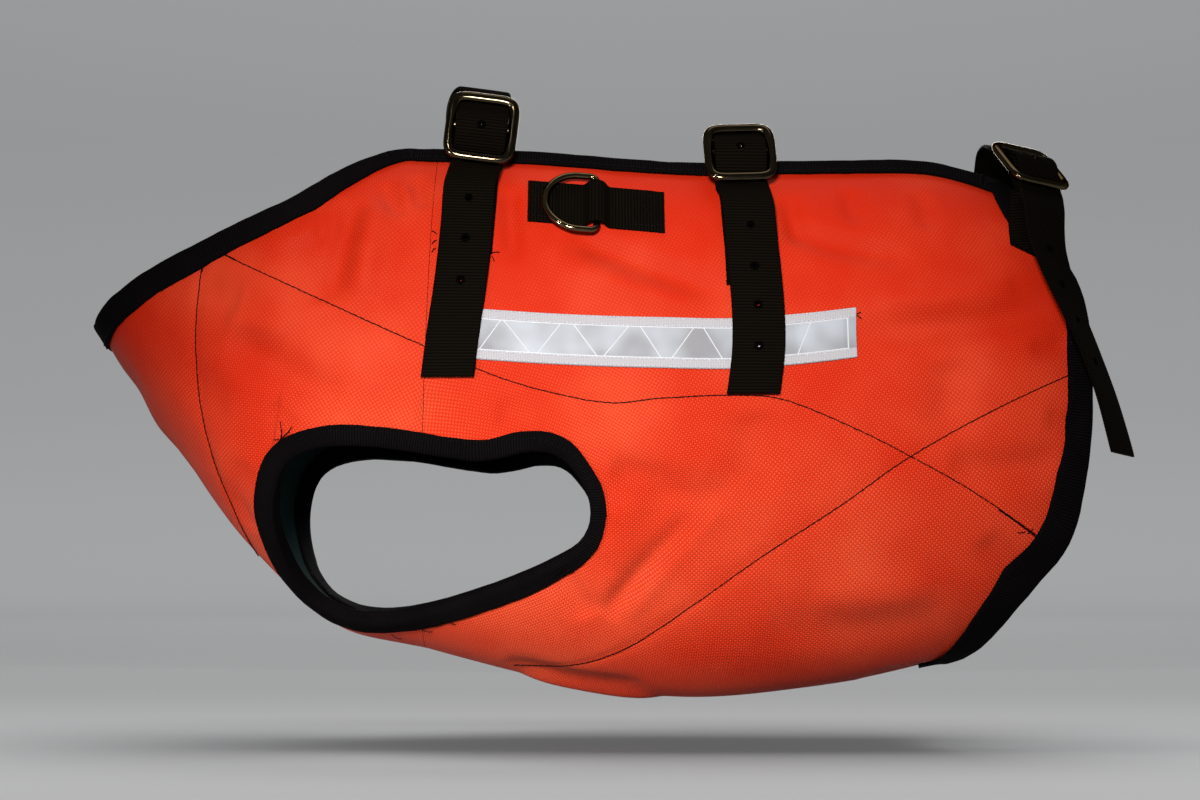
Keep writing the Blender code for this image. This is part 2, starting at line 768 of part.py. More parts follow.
base_strap("rear", [
    on_panel(138.2, -72, OVER_BINDING, slant=12), on_panel(138, -63, OVER_BINDING, -1, 10, 0.4),
    on_panel(138.2, -54, OVER_BINDING + 0.3, -1, 7, 1.8),
    on_panel(139, -46, OVER_BINDING + 1.4, -1, 5, 4.2),
])
long_strap(
    "rear",
    [on_panel(141, -86, OVER_BINDING, 1), on_panel(140, -72, OVER_BINDING, 1),
     on_panel(139, -58, OVER_BINDING, 1), on_panel(138, -47, OVER_BINDING + 0.3, 1),
     free((137, 40, -27), -18), free((136, 26, -16), -10), free((134, 6, -10), 2, 1),
     free((134, -12, -10), 16, 4)],
    [free((143, -62, -48), 30, 6), free((143, -70, -66), 36, 6), free((149, -77, -89), 46, 6),
     free((158, -80, -112), 55, 6), free((166, -81, -134), 61, 6), free((171, -81, -151), 63, 6),
     free((175, -81, -167), 63, 6)],
    (20.0, 4))


# ---------------------------------------------------------------- D-ring and its webbing
def ring_frame():
    """Hinge of the ring: the bar's middle, its direction up the panel, forward, and out."""
    p, angle = locate(*RING_AT)
    along, round_ = slopes_at(p, angle)
    face = outward(p, angle)
    up = round_.normalized()
    forward = up.cross(face)
    forward = forward if forward.x < 0 else -forward
    return skin(p, angle, RING_BAR_LIFT), up, forward, face


def ring_webbing():
    """A strip sewn along the panel, with a loop over the ring's bar."""
    peak = RING_BAR_LIFT + RING_WIRE + RING_LOOP_SPARE + MID
    profile = ((-33.0, MID), (-21.0, MID), (-9.5, MID), (-6.0, MID + 0.25), (-4.3, 3.2), (-3.1, 5.0),
               (0.0, peak), (3.1, 5.0), (4.3, 3.2), (6.0, MID + 0.25), (9.5, MID), (21.0, MID),
               (32.5, MID))
    _, up, _, _ = ring_frame()
    rows = []
    for along, lift in profile:
        x = RING_AT[0] + along
        z = RING_AT[1] - RING_STRIP_FALL * along
        p, angle = locate(x, z)
        step_p, step_a = inset_step(p, angle, up)
        rows.append([skin(p + step_p * w, angle + step_a * w, lift)
                     for w in span(-WEBBING_WIDTH / 2, WEBBING_WIDTH / 2, 2)])
    return rows


ring_strip = place("ring_webbing", grid_mesh("ring_webbing", ring_webbing()), webbing_black)
thicken(ring_strip, WEBBING_THICKNESS, 0)


def d_outline():
    """Middle line of the D: its bar at 0, straight sides, and a half-round end."""
    straight = RING_DEPTH - RING_HALF_WIDTH
    points = [(0.0, -RING_HALF_WIDTH + RING_CORNER), (0.0, RING_HALF_WIDTH - RING_CORNER)]
    for k in range(1, 4):
        turn = math.radians(22.5 * k)
        points.append((RING_CORNER * (1 - math.cos(turn)),
                       RING_HALF_WIDTH - RING_CORNER * (1 - math.sin(turn))))
    for k in range(13):
        turn = math.radians(90 - 15 * k)
        points.append((straight + RING_HALF_WIDTH * math.cos(turn), RING_HALF_WIDTH * math.sin(turn)))
    for k in range(3, 0, -1):
        turn = math.radians(22.5 * k)
        points.append((RING_CORNER * (1 - math.cos(turn)),
                       -RING_HALF_WIDTH + RING_CORNER * (1 - math.sin(turn))))
    return points


def wire(name, points, radius, material):
    """A closed round wire through points."""
    curve = bpy.data.curves.new(name, "CURVE")
    curve.dimensions = "3D"
    curve.bevel_depth = radius * MM
    curve.bevel_resolution = 2
    spline = curve.splines.new("POLY")
    spline.points.add(len(points) - 1)
    for slot, point in zip(spline.points, points):
        slot.co = (*(point * MM), 1.0)
    spline.use_cyclic_u = True
    piece = bpy.data.objects.new(name, curve)
    curve.materials.append(material)
    PARTS.objects.link(piece)
    return piece


polished = finish("polished nickel, smoky", (0.42, 0.36, 0.28), 0.18, 1.0)
hinge, hinge_up, hinge_forward, hinge_face = ring_frame()
lie = math.radians(RING_REST_TILT)
lying = hinge_forward * math.cos(lie) + hinge_face * math.sin(lie)
ring = wire("d_ring", [lying * a + hinge_up * b for a, b in d_outline()], RING_WIRE, polished)
ring.location = hinge * MM


# ---------------------------------------------------------------- buckles
def buckle_outline(count=28):
    """Square-shouldered oval of the frame's middle line."""
    power = 2 / BUCKLE_SQUARENESS
    points = []
    for k in range(count):
        turn = 2 * math.pi * (k + 0.5) / count
        c = math.cos(turn)
        s = math.sin(turn)
        points.append(Vector((
            BUCKLE_HALF_WIDTH * math.copysign(abs(c) ** power, c),
            BUCKLE_HALF_LENGTH * math.copysign(abs(s) ** power, s), 0)))
    return points


def solid_from(curve_piece):
    """The curve's surface as a mesh object that Booleans accept."""
    graph = bpy.context.evaluated_depsgraph_get()
    mesh = bpy.data.meshes.new_from_object(curve_piece.evaluated_get(graph))
    build = bmesh.new()
    build.from_mesh(mesh)
    bmesh.ops.remove_doubles(build, verts=build.verts, dist=0.00001)
    build.to_mesh(mesh)
    build.free()
    name = curve_piece.name
    bpy.data.objects.remove(curve_piece, do_unlink=True)
    piece = bpy.data.objects.new(name, mesh)
    PARTS.objects.link(piece)
    return piece


def rod(name, a, b, radius, segments=12):
    """Round rod between two points, as a cutter or something to join."""
    mesh = bpy.data.meshes.new(name)
    build = bmesh.new()
    bmesh.ops.create_cone(build, cap_ends=True, segments=segments, radius1=radius * MM,
                          radius2=radius * MM, depth=(b - a).length * MM)
    build.to_mesh(mesh)
    build.free()
    return add_cutter(name, mesh, (a + b) / 2, b - a)


def join(piece, other):
    boolean = piece.modifiers.new("join", "BOOLEAN")
    boolean.operation = "UNION"
    boolean.solver = "EXACT"
    boolean.object = other


def buckle(place_name):
    """A frame with its middle bar, and the prong that turns on the bar."""
    frame = BUCKLES[place_name]
    outline = [frame.at(q.x, q.y, 0) for q in buckle_outline()]
    rim = solid_from(wire(f"{place_name}_buckle_frame", outline, BUCKLE_WIRE, polished))
    join(rim, rod(f"{place_name}_bar", frame.at(-BUCKLE_HALF_WIDTH, 0, 0),
                  frame.at(BUCKLE_HALF_WIDTH, 0, 0), BUCKLE_BAR))
    bpy.ops.mesh.primitive_torus_add(major_segments=16, minor_segments=8,
                                     major_radius=PRONG_RING * MM, minor_radius=PRONG_WIRE * MM)
    prong = bpy.context.active_object
    prong.name = f"{place_name}_prong"
    prong.data.materials.append(polished)
    for home in list(prong.users_collection):
        home.objects.unlink(prong)
    PARTS.objects.link(prong)
    prong.matrix_world = frame.matrix() @ Matrix.Rotation(math.pi / 2, 4, "Y")
    join(prong, rod(f"{place_name}_stem", frame.at(0, 0, PRONG_RING), frame.at(0, 0, PRONG_TIP),
                    PRONG_WIRE, 10))


for strap_place in BUCKLES:
    buckle(strap_place)
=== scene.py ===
"""Looks of the armoured dog vest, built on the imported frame.

The frame is in metres: +X runs to the tail, -Y is the wearer's left, +Z is up. Sizes here are
in millimetres and are turned into metres with MM where a mesh is made.
"""
import math

import bmesh
import bpy
import numpy as np
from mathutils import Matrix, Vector, noise
from mathutils.bvhtree import BVHTree


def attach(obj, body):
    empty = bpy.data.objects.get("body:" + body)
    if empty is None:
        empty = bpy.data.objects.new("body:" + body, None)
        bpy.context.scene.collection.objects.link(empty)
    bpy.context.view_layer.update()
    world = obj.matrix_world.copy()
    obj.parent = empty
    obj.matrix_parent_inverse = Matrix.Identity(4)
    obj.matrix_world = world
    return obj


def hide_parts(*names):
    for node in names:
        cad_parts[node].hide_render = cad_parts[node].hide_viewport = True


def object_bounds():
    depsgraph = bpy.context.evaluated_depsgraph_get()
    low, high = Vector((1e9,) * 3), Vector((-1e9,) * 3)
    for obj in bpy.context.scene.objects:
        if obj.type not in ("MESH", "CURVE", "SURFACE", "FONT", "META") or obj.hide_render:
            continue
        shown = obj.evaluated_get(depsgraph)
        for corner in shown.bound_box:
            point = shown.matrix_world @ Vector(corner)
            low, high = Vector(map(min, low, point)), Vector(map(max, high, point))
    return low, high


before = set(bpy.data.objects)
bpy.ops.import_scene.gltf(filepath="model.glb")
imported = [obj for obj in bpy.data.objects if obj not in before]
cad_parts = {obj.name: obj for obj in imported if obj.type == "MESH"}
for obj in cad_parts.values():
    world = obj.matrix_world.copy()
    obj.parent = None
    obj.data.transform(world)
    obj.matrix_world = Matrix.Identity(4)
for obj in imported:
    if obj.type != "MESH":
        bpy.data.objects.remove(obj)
cad_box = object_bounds()
MM = 0.001

# ---------------------------------------------------------------- room, lights and camera
# A seamless pale sweep stands all round the vest, flat under it and curved up into a wall. A key
# lamp and a kicker light the vest's left side, and two softboxes its right side and its top. Two
# glint lamps light the metal alone, and two big softboxes the sweep, one of them without shadows.
FLOOR_UNDER_BELLY = 24.0
SWEEP_FLAT = 2600.0
SWEEP_BEND = 900.0
SWEEP_TOP = 3200.0
SWEEP_SIDES = 72
SWEEP_WELD = 0.5
BEND_STEPS = 12
# Painted light: floor lighter in front of the vest, darker behind, lighter far off and at the wall's
# foot.
SWEEP_NEAR = (0.68, 0.68, 0.682)
SWEEP_FAR = (0.46, 0.46, 0.462)
SWEEP_FOOT = (0.62, 0.62, 0.622)
SWEEP_WALL = (0.55, 0.55, 0.552)
SWEEP_END = (0.61, 0.61, 0.612)
SWEEP_REACH = (-150.0, 500.0)
END_REACH = (900.0, 2700.0)
FOOT_HEIGHT = 36.0
WALL_HEIGHT = 450.0
SOFTBOXES = (
    # name, place, size, watts, point aimed at, what it lights
    ("right_fill", (100, 1500, 400), 900, 22.0, (0, 60, -130), "vest"),
    ("overhead", (150, 60, 1500), 900, 4.5, (0, 60, 0), "vest"),
    ("wall_wash", (0, 600, 2600), 3600, 71.0, (0, 2600, 200), "sweep"),
    ("shadow_lift", (0, 600, 2600), 3600, 29.0, (0, 2600, 200), "sweep"),
)
SPOTS = (
    # name, place, point aimed at, watts, radius, full cone in degrees, what it lights
    ("key", (-170, -1240, 70), (-64, -80, -133), 65.5, 110, 33.0, "vest"),
    ("kicker", (-820, -900, -250), (-175, -70, -245), 25.0, 60, 17.0, "vest"),
    ("glint", (-760, -900, -270), (-20, -60, -40), 24.0, 35, 50.0, "metal"),
    ("high_glint", (-330, -1000, 420), (-20, -60, -40), 7.0, 30, 50.0, "metal"),
)
CAMERA_AT = (-69.1, -1183.0, -213.6)
CAMERA_YAW = 0.089
CAMERA_PITCH = 3.752
CAMERA_LENS = 70.33
SENSOR_WIDTH = 36.0
SKY = (0.9, 0.95, 1.0, 1.0)
SKY_STRENGTH = 0.12


def feed(tree, socket, value):
    """Links a socket, or sets it to a number, a vector or a material."""
    value = getattr(value, "socket", value)
    if isinstance(value, bpy.types.NodeSocket):
        tree.links.new(value, socket)
    else:
        socket.default_value = value


def add_node(tree, kind, settings=None, values=None):
    """A node with its settings, and the values or links of its sockets."""
    made = tree.nodes.new(kind)
    for key, value in (settings or {}).items():
        setattr(made, key, value)
    for socket, value in (values or {}).items():
        feed(tree, made.inputs[socket], value)
    return made


class Finish:
    """A material: constants go straight on its shader, and node() makes every other node."""

    def __init__(self, name, colour, roughness, **constants):
        self.material = bpy.data.materials.new(name)
        self.material.use_nodes = True
        self.tree = self.material.node_tree
        self.shader = self.tree.nodes["Principled BSDF"]
        self.shader.inputs["Base Color"].default_value = (*colour, 1.0)
        self.shader.inputs["Roughness"].default_value = roughness
        for socket, value in constants.items():
            self.shader.inputs[socket.replace("_", " ")].default_value = value

    def node(self, kind, settings=None, values=None):
        return add_node(self.tree, kind, settings, values)

    def math(self, operation, *values):
        made = self.node("ShaderNodeMath", {"operation": operation}, dict(enumerate(values)))
        return Value(self, made.outputs[0])

    def place(self):
        """Where each point of the piece is."""
        return self.node("ShaderNodeTexCoord").outputs["Object"]

    def cut(self):
        """Where each point of the piece was on its flat cut."""
        return self.node("ShaderNodeUVMap", {"uv_map": "cut"}).outputs[0]

    def split(self, vector):
        """A vector's three numbers."""
        parts = self.node("ShaderNodeSeparateXYZ", None, {0: vector}).outputs
        return [Value(self, part) for part in parts]

    def ribs(self, reach, pitch):
        """Round ribs along a reach: 0 between them, 1 on their backs."""
        return self.math("ABSOLUTE", self.math("SINE", reach * (math.pi / pitch)))

    def shade(self, **sockets):
        """Links sockets of the shader."""
        for socket, value in sockets.items():
            feed(self.tree, self.shader.inputs[socket.replace("_", " ")], value)

    def mix(self, share, first, second):
        """Colour between two colours."""
        made = self.node("ShaderNodeMix", {"data_type": "RGBA"}, {0: share})
        for slot, colour in ((6, first), (7, second)):
            colour = (*colour, 1.0) if isinstance(colour, tuple) else colour
            feed(self.tree, made.inputs[slot], colour)
        return made.outputs[2]

    def noise(self, coords, scale, detail=2.0):
        made = self.node("ShaderNodeTexNoise", None,
                         {"Vector": coords, "Scale": scale, "Detail": detail})
        return Value(self, made.outputs["Fac"])

    def bump(self, height, distance, strength=1.0):
        made = self.node("ShaderNodeBump", None,
                         {"Height": height, "Distance": distance, "Strength": strength})
        self.shade(Normal=made.outputs["Normal"])


class Value:
    """A number on a socket: sums and products of it become Math nodes."""

    def __init__(self, finish, socket):
        self.finish = finish
        self.socket = socket

    def __add__(self, other):
        return self.finish.math("ADD", self, other)

    __radd__ = __add__

    def __mul__(self, other):
        return self.finish.math("MULTIPLY", self, other)

    __rmul__ = __mul__

    def __sub__(self, other):
        return self.finish.math("SUBTRACT", self, other)

    def __rsub__(self, other):
        return self.finish.math("SUBTRACT", other, self)


def link(name, mesh, material=None):
    piece = bpy.data.objects.new(name, mesh)
    bpy.context.scene.collection.objects.link(piece)
    if material:
        mesh.materials.append(material)
    return piece


def sweep():
    floor = cad_box[0].z / MM - FLOOR_UNDER_BELLY
    profile = [(0.0, floor), (SWEEP_FLAT, floor)]
    for k in range(1, BEND_STEPS + 1):
        turn = math.radians(90 * k / BEND_STEPS)
        profile.append((SWEEP_FLAT + SWEEP_BEND * math.sin(turn),
                        floor + SWEEP_BEND * (1 - math.cos(turn))))
    profile.append((SWEEP_FLAT + SWEEP_BEND, floor + SWEEP_TOP))
    build = bmesh.new()
    run = [build.verts.new((x * MM, 0, z * MM)) for x, z in profile]
    edges = [build.edges.new(pair) for pair in zip(run, run[1:])]
    bmesh.ops.spin(build, geom=run + edges, axis=(0, 0, 1), cent=(0, 0, 0), steps=SWEEP_SIDES,
                   angle=2 * math.pi, use_duplicate=False)
    bmesh.ops.remove_doubles(build, verts=build.verts, dist=SWEEP_WELD * MM)
    bmesh.ops.recalc_face_normals(build, faces=build.faces)
    mesh = bpy.data.meshes.new("sweep")
    build.to_mesh(mesh)
    build.free()
    mesh.shade_smooth()
    paper = Finish("sweep paper", SWEEP_WALL, 0.9)
    _, back, height = paper.split(paper.place())
    away, end, foot, wall = (paper.node("ShaderNodeMapRange", {"interpolation_type": "SMOOTHSTEP"}, {
        0: value, 1: low * MM, 2: high * MM}).outputs[0] for value, low, high in (
            (back, *SWEEP_REACH), (back, *END_REACH), (height, floor, floor + FOOT_HEIGHT),
            (height, floor, floor + WALL_HEIGHT)))
    # The paper's colour is graded as painted light, to even out how the lamps light it.
    ground = paper.mix(end, paper.mix(away, SWEEP_NEAR, SWEEP_FAR), SWEEP_END)
    paper.shade(Base_Color=paper.mix(foot, ground, paper.mix(wall, SWEEP_FOOT, SWEEP_WALL)))
    return link("sweep", mesh, paper.material)


paper_sweep = sweep()
# The sweep throws no light back on the vest.
paper_sweep.visible_diffuse = False

lit = {"metal": bpy.data.collections.new("metal_only")}
for name, state in (("vest", "EXCLUDE"), ("sweep", "INCLUDE")):
    lit[name] = bpy.data.collections.new(f"{name}_only")
    lit[name].objects.link(paper_sweep)
    lit[name].collection_objects[0].light_linking.link_state = state


def hang(lamp, place, watts, aim, on):
    lamp.energy = watts
    holder = bpy.data.objects.new(lamp.name, lamp)
    holder.location = Vector(place) * MM
    holder.rotation_euler = (Vector(aim) - Vector(place)).to_track_quat("-Z", "Y").to_euler()
    bpy.context.scene.collection.objects.link(holder)
    holder.light_linking.receiver_collection = lit[on]


for name, place, size, watts, aim, on in SOFTBOXES:
    softbox = bpy.data.lights.new(name, "AREA")
    softbox.size = size * MM
    softbox.use_shadow = name != "shadow_lift"
    hang(softbox, place, watts, aim, on)
for name, place, aim, watts, radius, cone, on in SPOTS:
    spot = bpy.data.lights.new(name, "SPOT")
    spot.shadow_soft_size = radius * MM
    spot.spot_size = math.radians(cone)
    spot.spot_blend = 1.0
    hang(spot, place, watts, aim, on)

sky = bpy.data.worlds.new("sky")
sky.use_nodes = True
sky.node_tree.nodes["Background"].inputs["Color"].default_value = SKY
sky.node_tree.nodes["Background"].inputs["Strength"].default_value = SKY_STRENGTH
bpy.context.scene.world = sky

lens = bpy.data.cameras.new("camera")
lens.lens = CAMERA_LENS
lens.sensor_width = SENSOR_WIDTH
camera = bpy.data.objects.new("camera", lens)
camera.location = Vector(CAMERA_AT) * MM
camera.rotation_euler = (math.radians(90 + CAMERA_PITCH), 0, math.radians(CAMERA_YAW))
bpy.context.scene.collection.objects.link(camera)
bpy.context.scene.camera = camera
bpy.context.scene.view_settings.view_transform = "Standard"

# ---------------------------------------------------------------- folds of the cloth
# Worn cloth pulls between the straps, the quilting and the armholes. Each fold is a soft trough
# with low shoulders, or a ridge where its depth is negative, along a line that is found on the
# panels from one view. Each line of the quilting draws a narrow groove, the same on both sides.
QUILTING = (
    ((-261, -66), (-264, -92), (-264.5, -116), (-263, -140), (-257, -168), (-249, -192), (-241, -214)),
    ((-258, -67), (-232, -80), (-198, -96), (-156, -115), (-118, -131), (-90, -139), (-66, -143),
     (-43, -141), (-15, -139.5), (6.5, -140), (23, -144), (51, -156), (75, -168), (104, -184),
     (136, -205)),
    ((154, -128), (118, -144.5), (75, -168), (42, -191), (5, -215), (-23, -235), (-52, -255),
     (-71, -264), (-90, -268), (-112, -268)),
)
GROOVE_WIDTH = 2.6
GROOVE_DEPTH = 0.9
FOLDS = {
    # width, depth, line as seen in that view
    "left": (
        (9, 2.2, ((-188, -44), (-193, -68), (-197, -96))),
        (15, 2.2, ((-214, -62), (-208, -78), (-202, -96))),
        (9, -1.8, ((-179, -46), (-181, -68), (-186, -92))),
        (11, 2.8, ((-248, -112), (-222, -126), (-192, -143))),
        (7, -1.1, ((-250, -102), (-236, -104), (-214, -107))),
        (10, 1.3, ((-262, -82), (-254, -90), (-242, -94))),
        (13, 1.1, ((-270, -120), (-260, -135), (-248, -146))),
        (8, 2.2, ((-88, -61), (-62, -73), (-36, -84), (-10, -92))),
        (10, -1.6, ((-92, -76), (-58, -88), (-22, -96))),
        (6, 2.0, ((-115, -38), (-113, -56), (-112, -75))),
        (8, 2.2, ((16, -57), (36, -65), (58, -70), (78, -73))),
        (6, 1.8, ((19, -42), (22, -54), (24, -66))),
        (10, 2.6, ((44, -110), (76, -108), (110, -105), (146, -97))),
        (9, -1.8, ((60, -95), (92, -92), (128, -86))),
        (9, 3.4, ((-66, -173), (-46, -181), (-24, -185), (-6, -186))),
        (7, 3.2, ((-19, -191), (-36, -208), (-53, -226), (-69, -244))),
        (14, 1.4, ((-30, -184), (-50, -200), (-70, -220))),
        (5, -1.9, ((-10, -186), (-26, -203), (-43, -222), (-60, -244))),
        (5, -1.2, ((-12, -184), (-34, -182), (-60, -180))),
        (12, -2.0, ((-62, -188), (-58, -202), (-70, -218))),
        (8, 1.8, ((-94, -216), (-84, -231), (-76, -244))),
        (15, 2.2, ((0, -147), (2, -166), (-3, -186))),
        (13, 2.0, ((92, -122), (95, -138), (89, -158))),
        (10, 2.4, ((93, -171), (118, -174), (148, -169))),
        (15, 1.3, ((8, -246), (34, -250), (64, -248), (96, -243))),
        (13, -1.3, ((30, -232), (60, -234), (88, -229))),
        (9, 2.0, ((110, -206), (122, -220), (132, -232))),
        (8, 1.6, ((-240, -170), (-246, -186), (-240, -202))),
        (6, 1.5, ((-178, -37), (-171, -43), (-166, -53))),
        (6, 1.3, ((-161, -33), (-158, -40), (-157, -49))),
        (5, -0.7, ((-168, -35), (-164, -41), (-163, -50))),
        (5, 1.1, ((-206, -47), (-203, -56), (-205, -66))),
        (5, 1.1, ((-46, -40), (-45, -47), (-48, -55))),
        (6, 1.3, ((52, -38), (50, -46), (53, -56))),
        (6, 1.1, ((82, -39), (86, -47), (84, -58))),
        (6, 1.3, ((152, -112), (144, -116), (134, -117))),
        (6, 1.2, ((158, -150), (149, -151), (140, -149))),
        (6, 1.4, ((-150, -155), (-152, -147), (-150, -138))),
        (6, 1.3, ((-118, -157), (-114, -149), (-116, -141))),
        (5, 1.2, ((-214, -158), (-220, -150), (-224, -141))),
    ),
    "right": (
        (11, 2.3, ((-196, -52), (-203, -78), (-212, -104))),
        (13, 2.5, ((-262, -112), (-236, -132), (-210, -146))),
        (8, -1.5, ((-250, -84), (-236, -80), (-222, -74))),
        (9, 2.1, ((-70, -66), (-44, -80), (-14, -90))),
        (12, 2.5, ((30, -92), (64, -98), (100, -96), (138, -86))),
        (9, 2.0, ((14, -60), (34, -70), (52, -84))),
        (10, 3.6, ((-64, -176), (-40, -178), (-16, -172))),
        (11, 3.8, ((-70, -236), (-52, -216), (-30, -202), (-8, -196))),
        (11, -2.8, ((-58, -244), (-40, -226), (-18, -212))),
        (14, 2.4, ((-20, -128), (-16, -148), (-22, -166))),
        (13, 2.2, ((70, -132), (78, -150), (74, -172))),
        (11, 2.4, ((86, -186), (114, -182), (146, -186))),
        (14, 2.4, ((-10, -250), (22, -246), (54, -252), (92, -246))),
        (9, 1.9, ((104, -214), (120, -224), (134, -226))),
        (6, 1.3, ((-186, -38), (-182, -48), (-184, -60))),
        (6, 1.2, ((-90, -38), (-88, -48), (-92, -58))),
        (6, 1.2, ((60, -38), (62, -48), (58, -58))),
        (6, 1.3, ((-160, -156), (-158, -146), (-162, -136))),
        (6, 1.3, ((156, -130), (146, -132), (134, -128))),
    ),
    "below": (
        (12, 2.2, ((-118, -30), (-82, -24), (-48, -30))),
        (10, -2.0, ((-110, -12), (-72, -4), (-40, -10))),
        (13, 2.0, ((-20, 26), (18, 22), (52, 28))),
        (12, 2.2, ((60, -16), (94, -8), (126, -14))),
        (12, 1.8, ((-190, 14), (-166, 8), (-140, 14))),
    ),
    "front": (
        (11, 0.8, ((-34, -124), (-10, -132), (18, -126))),
        (12, 0.8, ((-20, -166), (6, -172), (34, -164))),
        (10, -0.6, ((-30, -146), (-4, -150), (22, -146))),
    ),
}
SHOULDERS = 0.45
FOLD_GAIN = 1.5
VIEWS = {
    # a view's line of sight, and where its two numbers go: x and z from the sides, x and y from
    # below, y and z from the front
    "left": ((0, 1, 0), lambda a, b: (a, -400, b)),
    "right": ((0, -1, 0), lambda a, b: (a, 400, b)),
    "below": ((0, 0, 1), lambda a, b: (a, b, -500)),
    "front": ((1, 0, 0), lambda a, b: (-600, a, b)),
}
WELD = 0.01
SHARP = math.radians(60)
CREASED = math.radians(65)
SHADED_SHARP = math.radians(50)
FIT_ROUNDS = 3
LEFT_BEYOND = 30.0


def welded(node):
    """A CAD node's mesh with its loose triangles welded."""
    cloth = bmesh.new()
    cloth.from_mesh(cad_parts[node].data)
    bmesh.ops.remove_doubles(cloth, verts=cloth.verts, dist=WELD * MM)
    return cloth


def gather(node):
    """A CAD node's welded mesh with its triangles paired into quads."""
    cloth = welded(node)
    bmesh.ops.join_triangles(cloth, faces=cloth.faces, angle_face_threshold=SHADED_SHARP,
                             angle_shape_threshold=math.pi)
    return cloth


def outer_face(node):
    """The outer face of a panel's solid, as an open sheet."""
    cloth = gather(node)
    seen = set()
    stretches = []
    for start in cloth.faces:
        if start in seen:
            continue
        seen.add(start)
        stretch = [start]
        for face in stretch:
            for edge in face.edges:
                if edge.is_manifold and edge.calc_face_angle() < SHARP:
                    for beside in edge.link_faces:
                        if beside not in seen:
                            seen.add(beside)
                            stretch.append(beside)
        stretches.append(stretch)
    keep = set(max(stretches, key=lambda faces: sum(f.calc_area() for f in faces)))
    bmesh.ops.delete(cloth, geom=[f for f in cloth.faces if f not in keep], context="FACES")
    return cloth


def coords(mesh):
    out = np.empty(len(mesh.vertices) * 3)
    mesh.vertices.foreach_get("co", out)
    return out.reshape(-1, 3)


def set_coords(mesh, points):
    mesh.vertices.foreach_set("co", np.ascontiguousarray(points).ravel())
    mesh.update()


def area_of(piece):
    return sum(face.area for face in piece.data.polygons)


def applied(piece):
    """The piece's mesh with its modifiers made real."""
    graph = bpy.context.evaluated_depsgraph_get()
    mesh = bpy.data.meshes.new_from_object(piece.evaluated_get(graph))
    old = piece.data
    piece.modifiers.clear()
    piece.data = mesh
    bpy.data.meshes.remove(old)
    mesh.name = piece.name
    mesh.shade_smooth()
    mesh.set_sharp_from_angle(angle=SHADED_SHARP)
    return piece


def thickened(piece, thickness):
    """The piece with a wall grown inwards from its sheet."""
    wall = piece.modifiers.new("thickness", "SOLIDIFY")
    wall.thickness = thickness * MM
    wall.offset = -1
    return applied(piece)


def smoothed(name, cage, levels):
    """A fine smooth mesh through the points of a coarse one, which keeps its sharp edges."""
    crease = cage.edges.layers.float.new("crease_edge")
    for edge in cage.edges:
        if edge.is_manifold and edge.calc_face_angle() > SHARP:
            edge[crease] = 1.0
    mesh = bpy.data.meshes.new(name)
    cage.to_mesh(mesh)
    cage.free()
    piece = link(name, mesh)
    smooth = piece.modifiers.new("smooth", "SUBSURF")
    smooth.levels = levels
    smooth.render_levels = levels
    smooth.boundary_smooth = "PRESERVE_CORNERS"
    wanted = coords(mesh)
    for _ in range(FIT_ROUNDS):
        graph = bpy.context.evaluated_depsgraph_get()
        now = coords(piece.evaluated_get(graph).data)[:len(wanted)]
        set_coords(mesh, coords(mesh) + wanted - now)
    return piece


def surface_of(*pieces):
    """A tree for finding points on pieces' meshes."""
    points = []
    faces = []
    for piece in pieces:
        faces += [[v + len(points) for v in face.vertices] for face in piece.data.polygons]
        points += [v.co.copy() for v in piece.data.vertices]
    return BVHTree.FromPolygons(points, faces)


def curve_through(points, step):
    """Points about a step apart on a smooth curve through the given ones."""
    points = [Vector(p) for p in points]
    out = []
    last = len(points) - 1
    for i in range(last):
        a, b, c, d = (points[min(max(i + k, 0), last)] for k in (-1, 0, 1, 2))
        count = max(2, round((c - b).length / step))
        for k in range(count):
            t = k / count
            out.append(0.5 * ((2 * b) + (c - a) * t + (2 * a - 5 * b + 4 * c - d) * t * t
                              + (3 * b - a - 3 * c + d) * t ** 3))
    return out + [points[last]]


def on_cloth(cloth, view, line, step=3.0):
    """Points and outward directions on the cloth, below a line that is drawn in a view."""
    sight, place = VIEWS[view]
    flat = curve_through([(a, b, 0) for a, b in line], step)
    found = []
    for point in flat:
        hit, normal, _, _ = cloth.ray_cast(Vector(place(point.x, point.y)) * MM, Vector(sight))
        if hit is not None:
            found.append((hit, normal if normal.dot(Vector(sight)) < 0 else -normal))
    return found


def distances(path):
    """The distance along a path at each of its points."""
    return np.concatenate(([0.0], np.cumsum(np.linalg.norm(np.diff(path, axis=0), axis=1))))


def nearest_on(path, points):
    """Distance from a path, share of its length, and nearest run of it, for many points."""
    starts = path[:-1]
    runs = path[1:] - starts
    lengths = np.linalg.norm(runs, axis=1)
    reach = distances(path)
    best = np.full(len(points), np.inf)
    along = np.zeros(len(points))
    which = np.zeros(len(points), dtype=int)
    for place, (start, run, length, before) in enumerate(zip(starts, runs, lengths, reach)):
        t = np.clip((points - start) @ run / max(length ** 2, 1e-12), 0, 1)
        away = np.linalg.norm(points - start - t[:, None] * run, axis=1)
        nearer = away < best
        best[nearer] = away[nearer]
        along[nearer] = before + t[nearer] * length
        which[nearer] = place
    return best, along / reach[-1], which


def settle(points):
    """Points of the cloth, or of what lies on it, moved by every fold near them."""
    moved = points.copy()
    for path, outward, width, depth in FOLD_PATHS:
        reach = 3 * width
        near = np.all((points > path.min(0) - reach) & (points < path.max(0) + reach), axis=1)
        if not near.any():
            continue
        away, t, which = nearest_on(path, points[near])
        share = (away / width) ** 2
        profile = (1 - SHOULDERS * share) * np.exp(-share) * (1 - (2 * t - 1) ** 4)
        moved[near] -= outward[which] * (depth * profile)[:, None]
    return moved


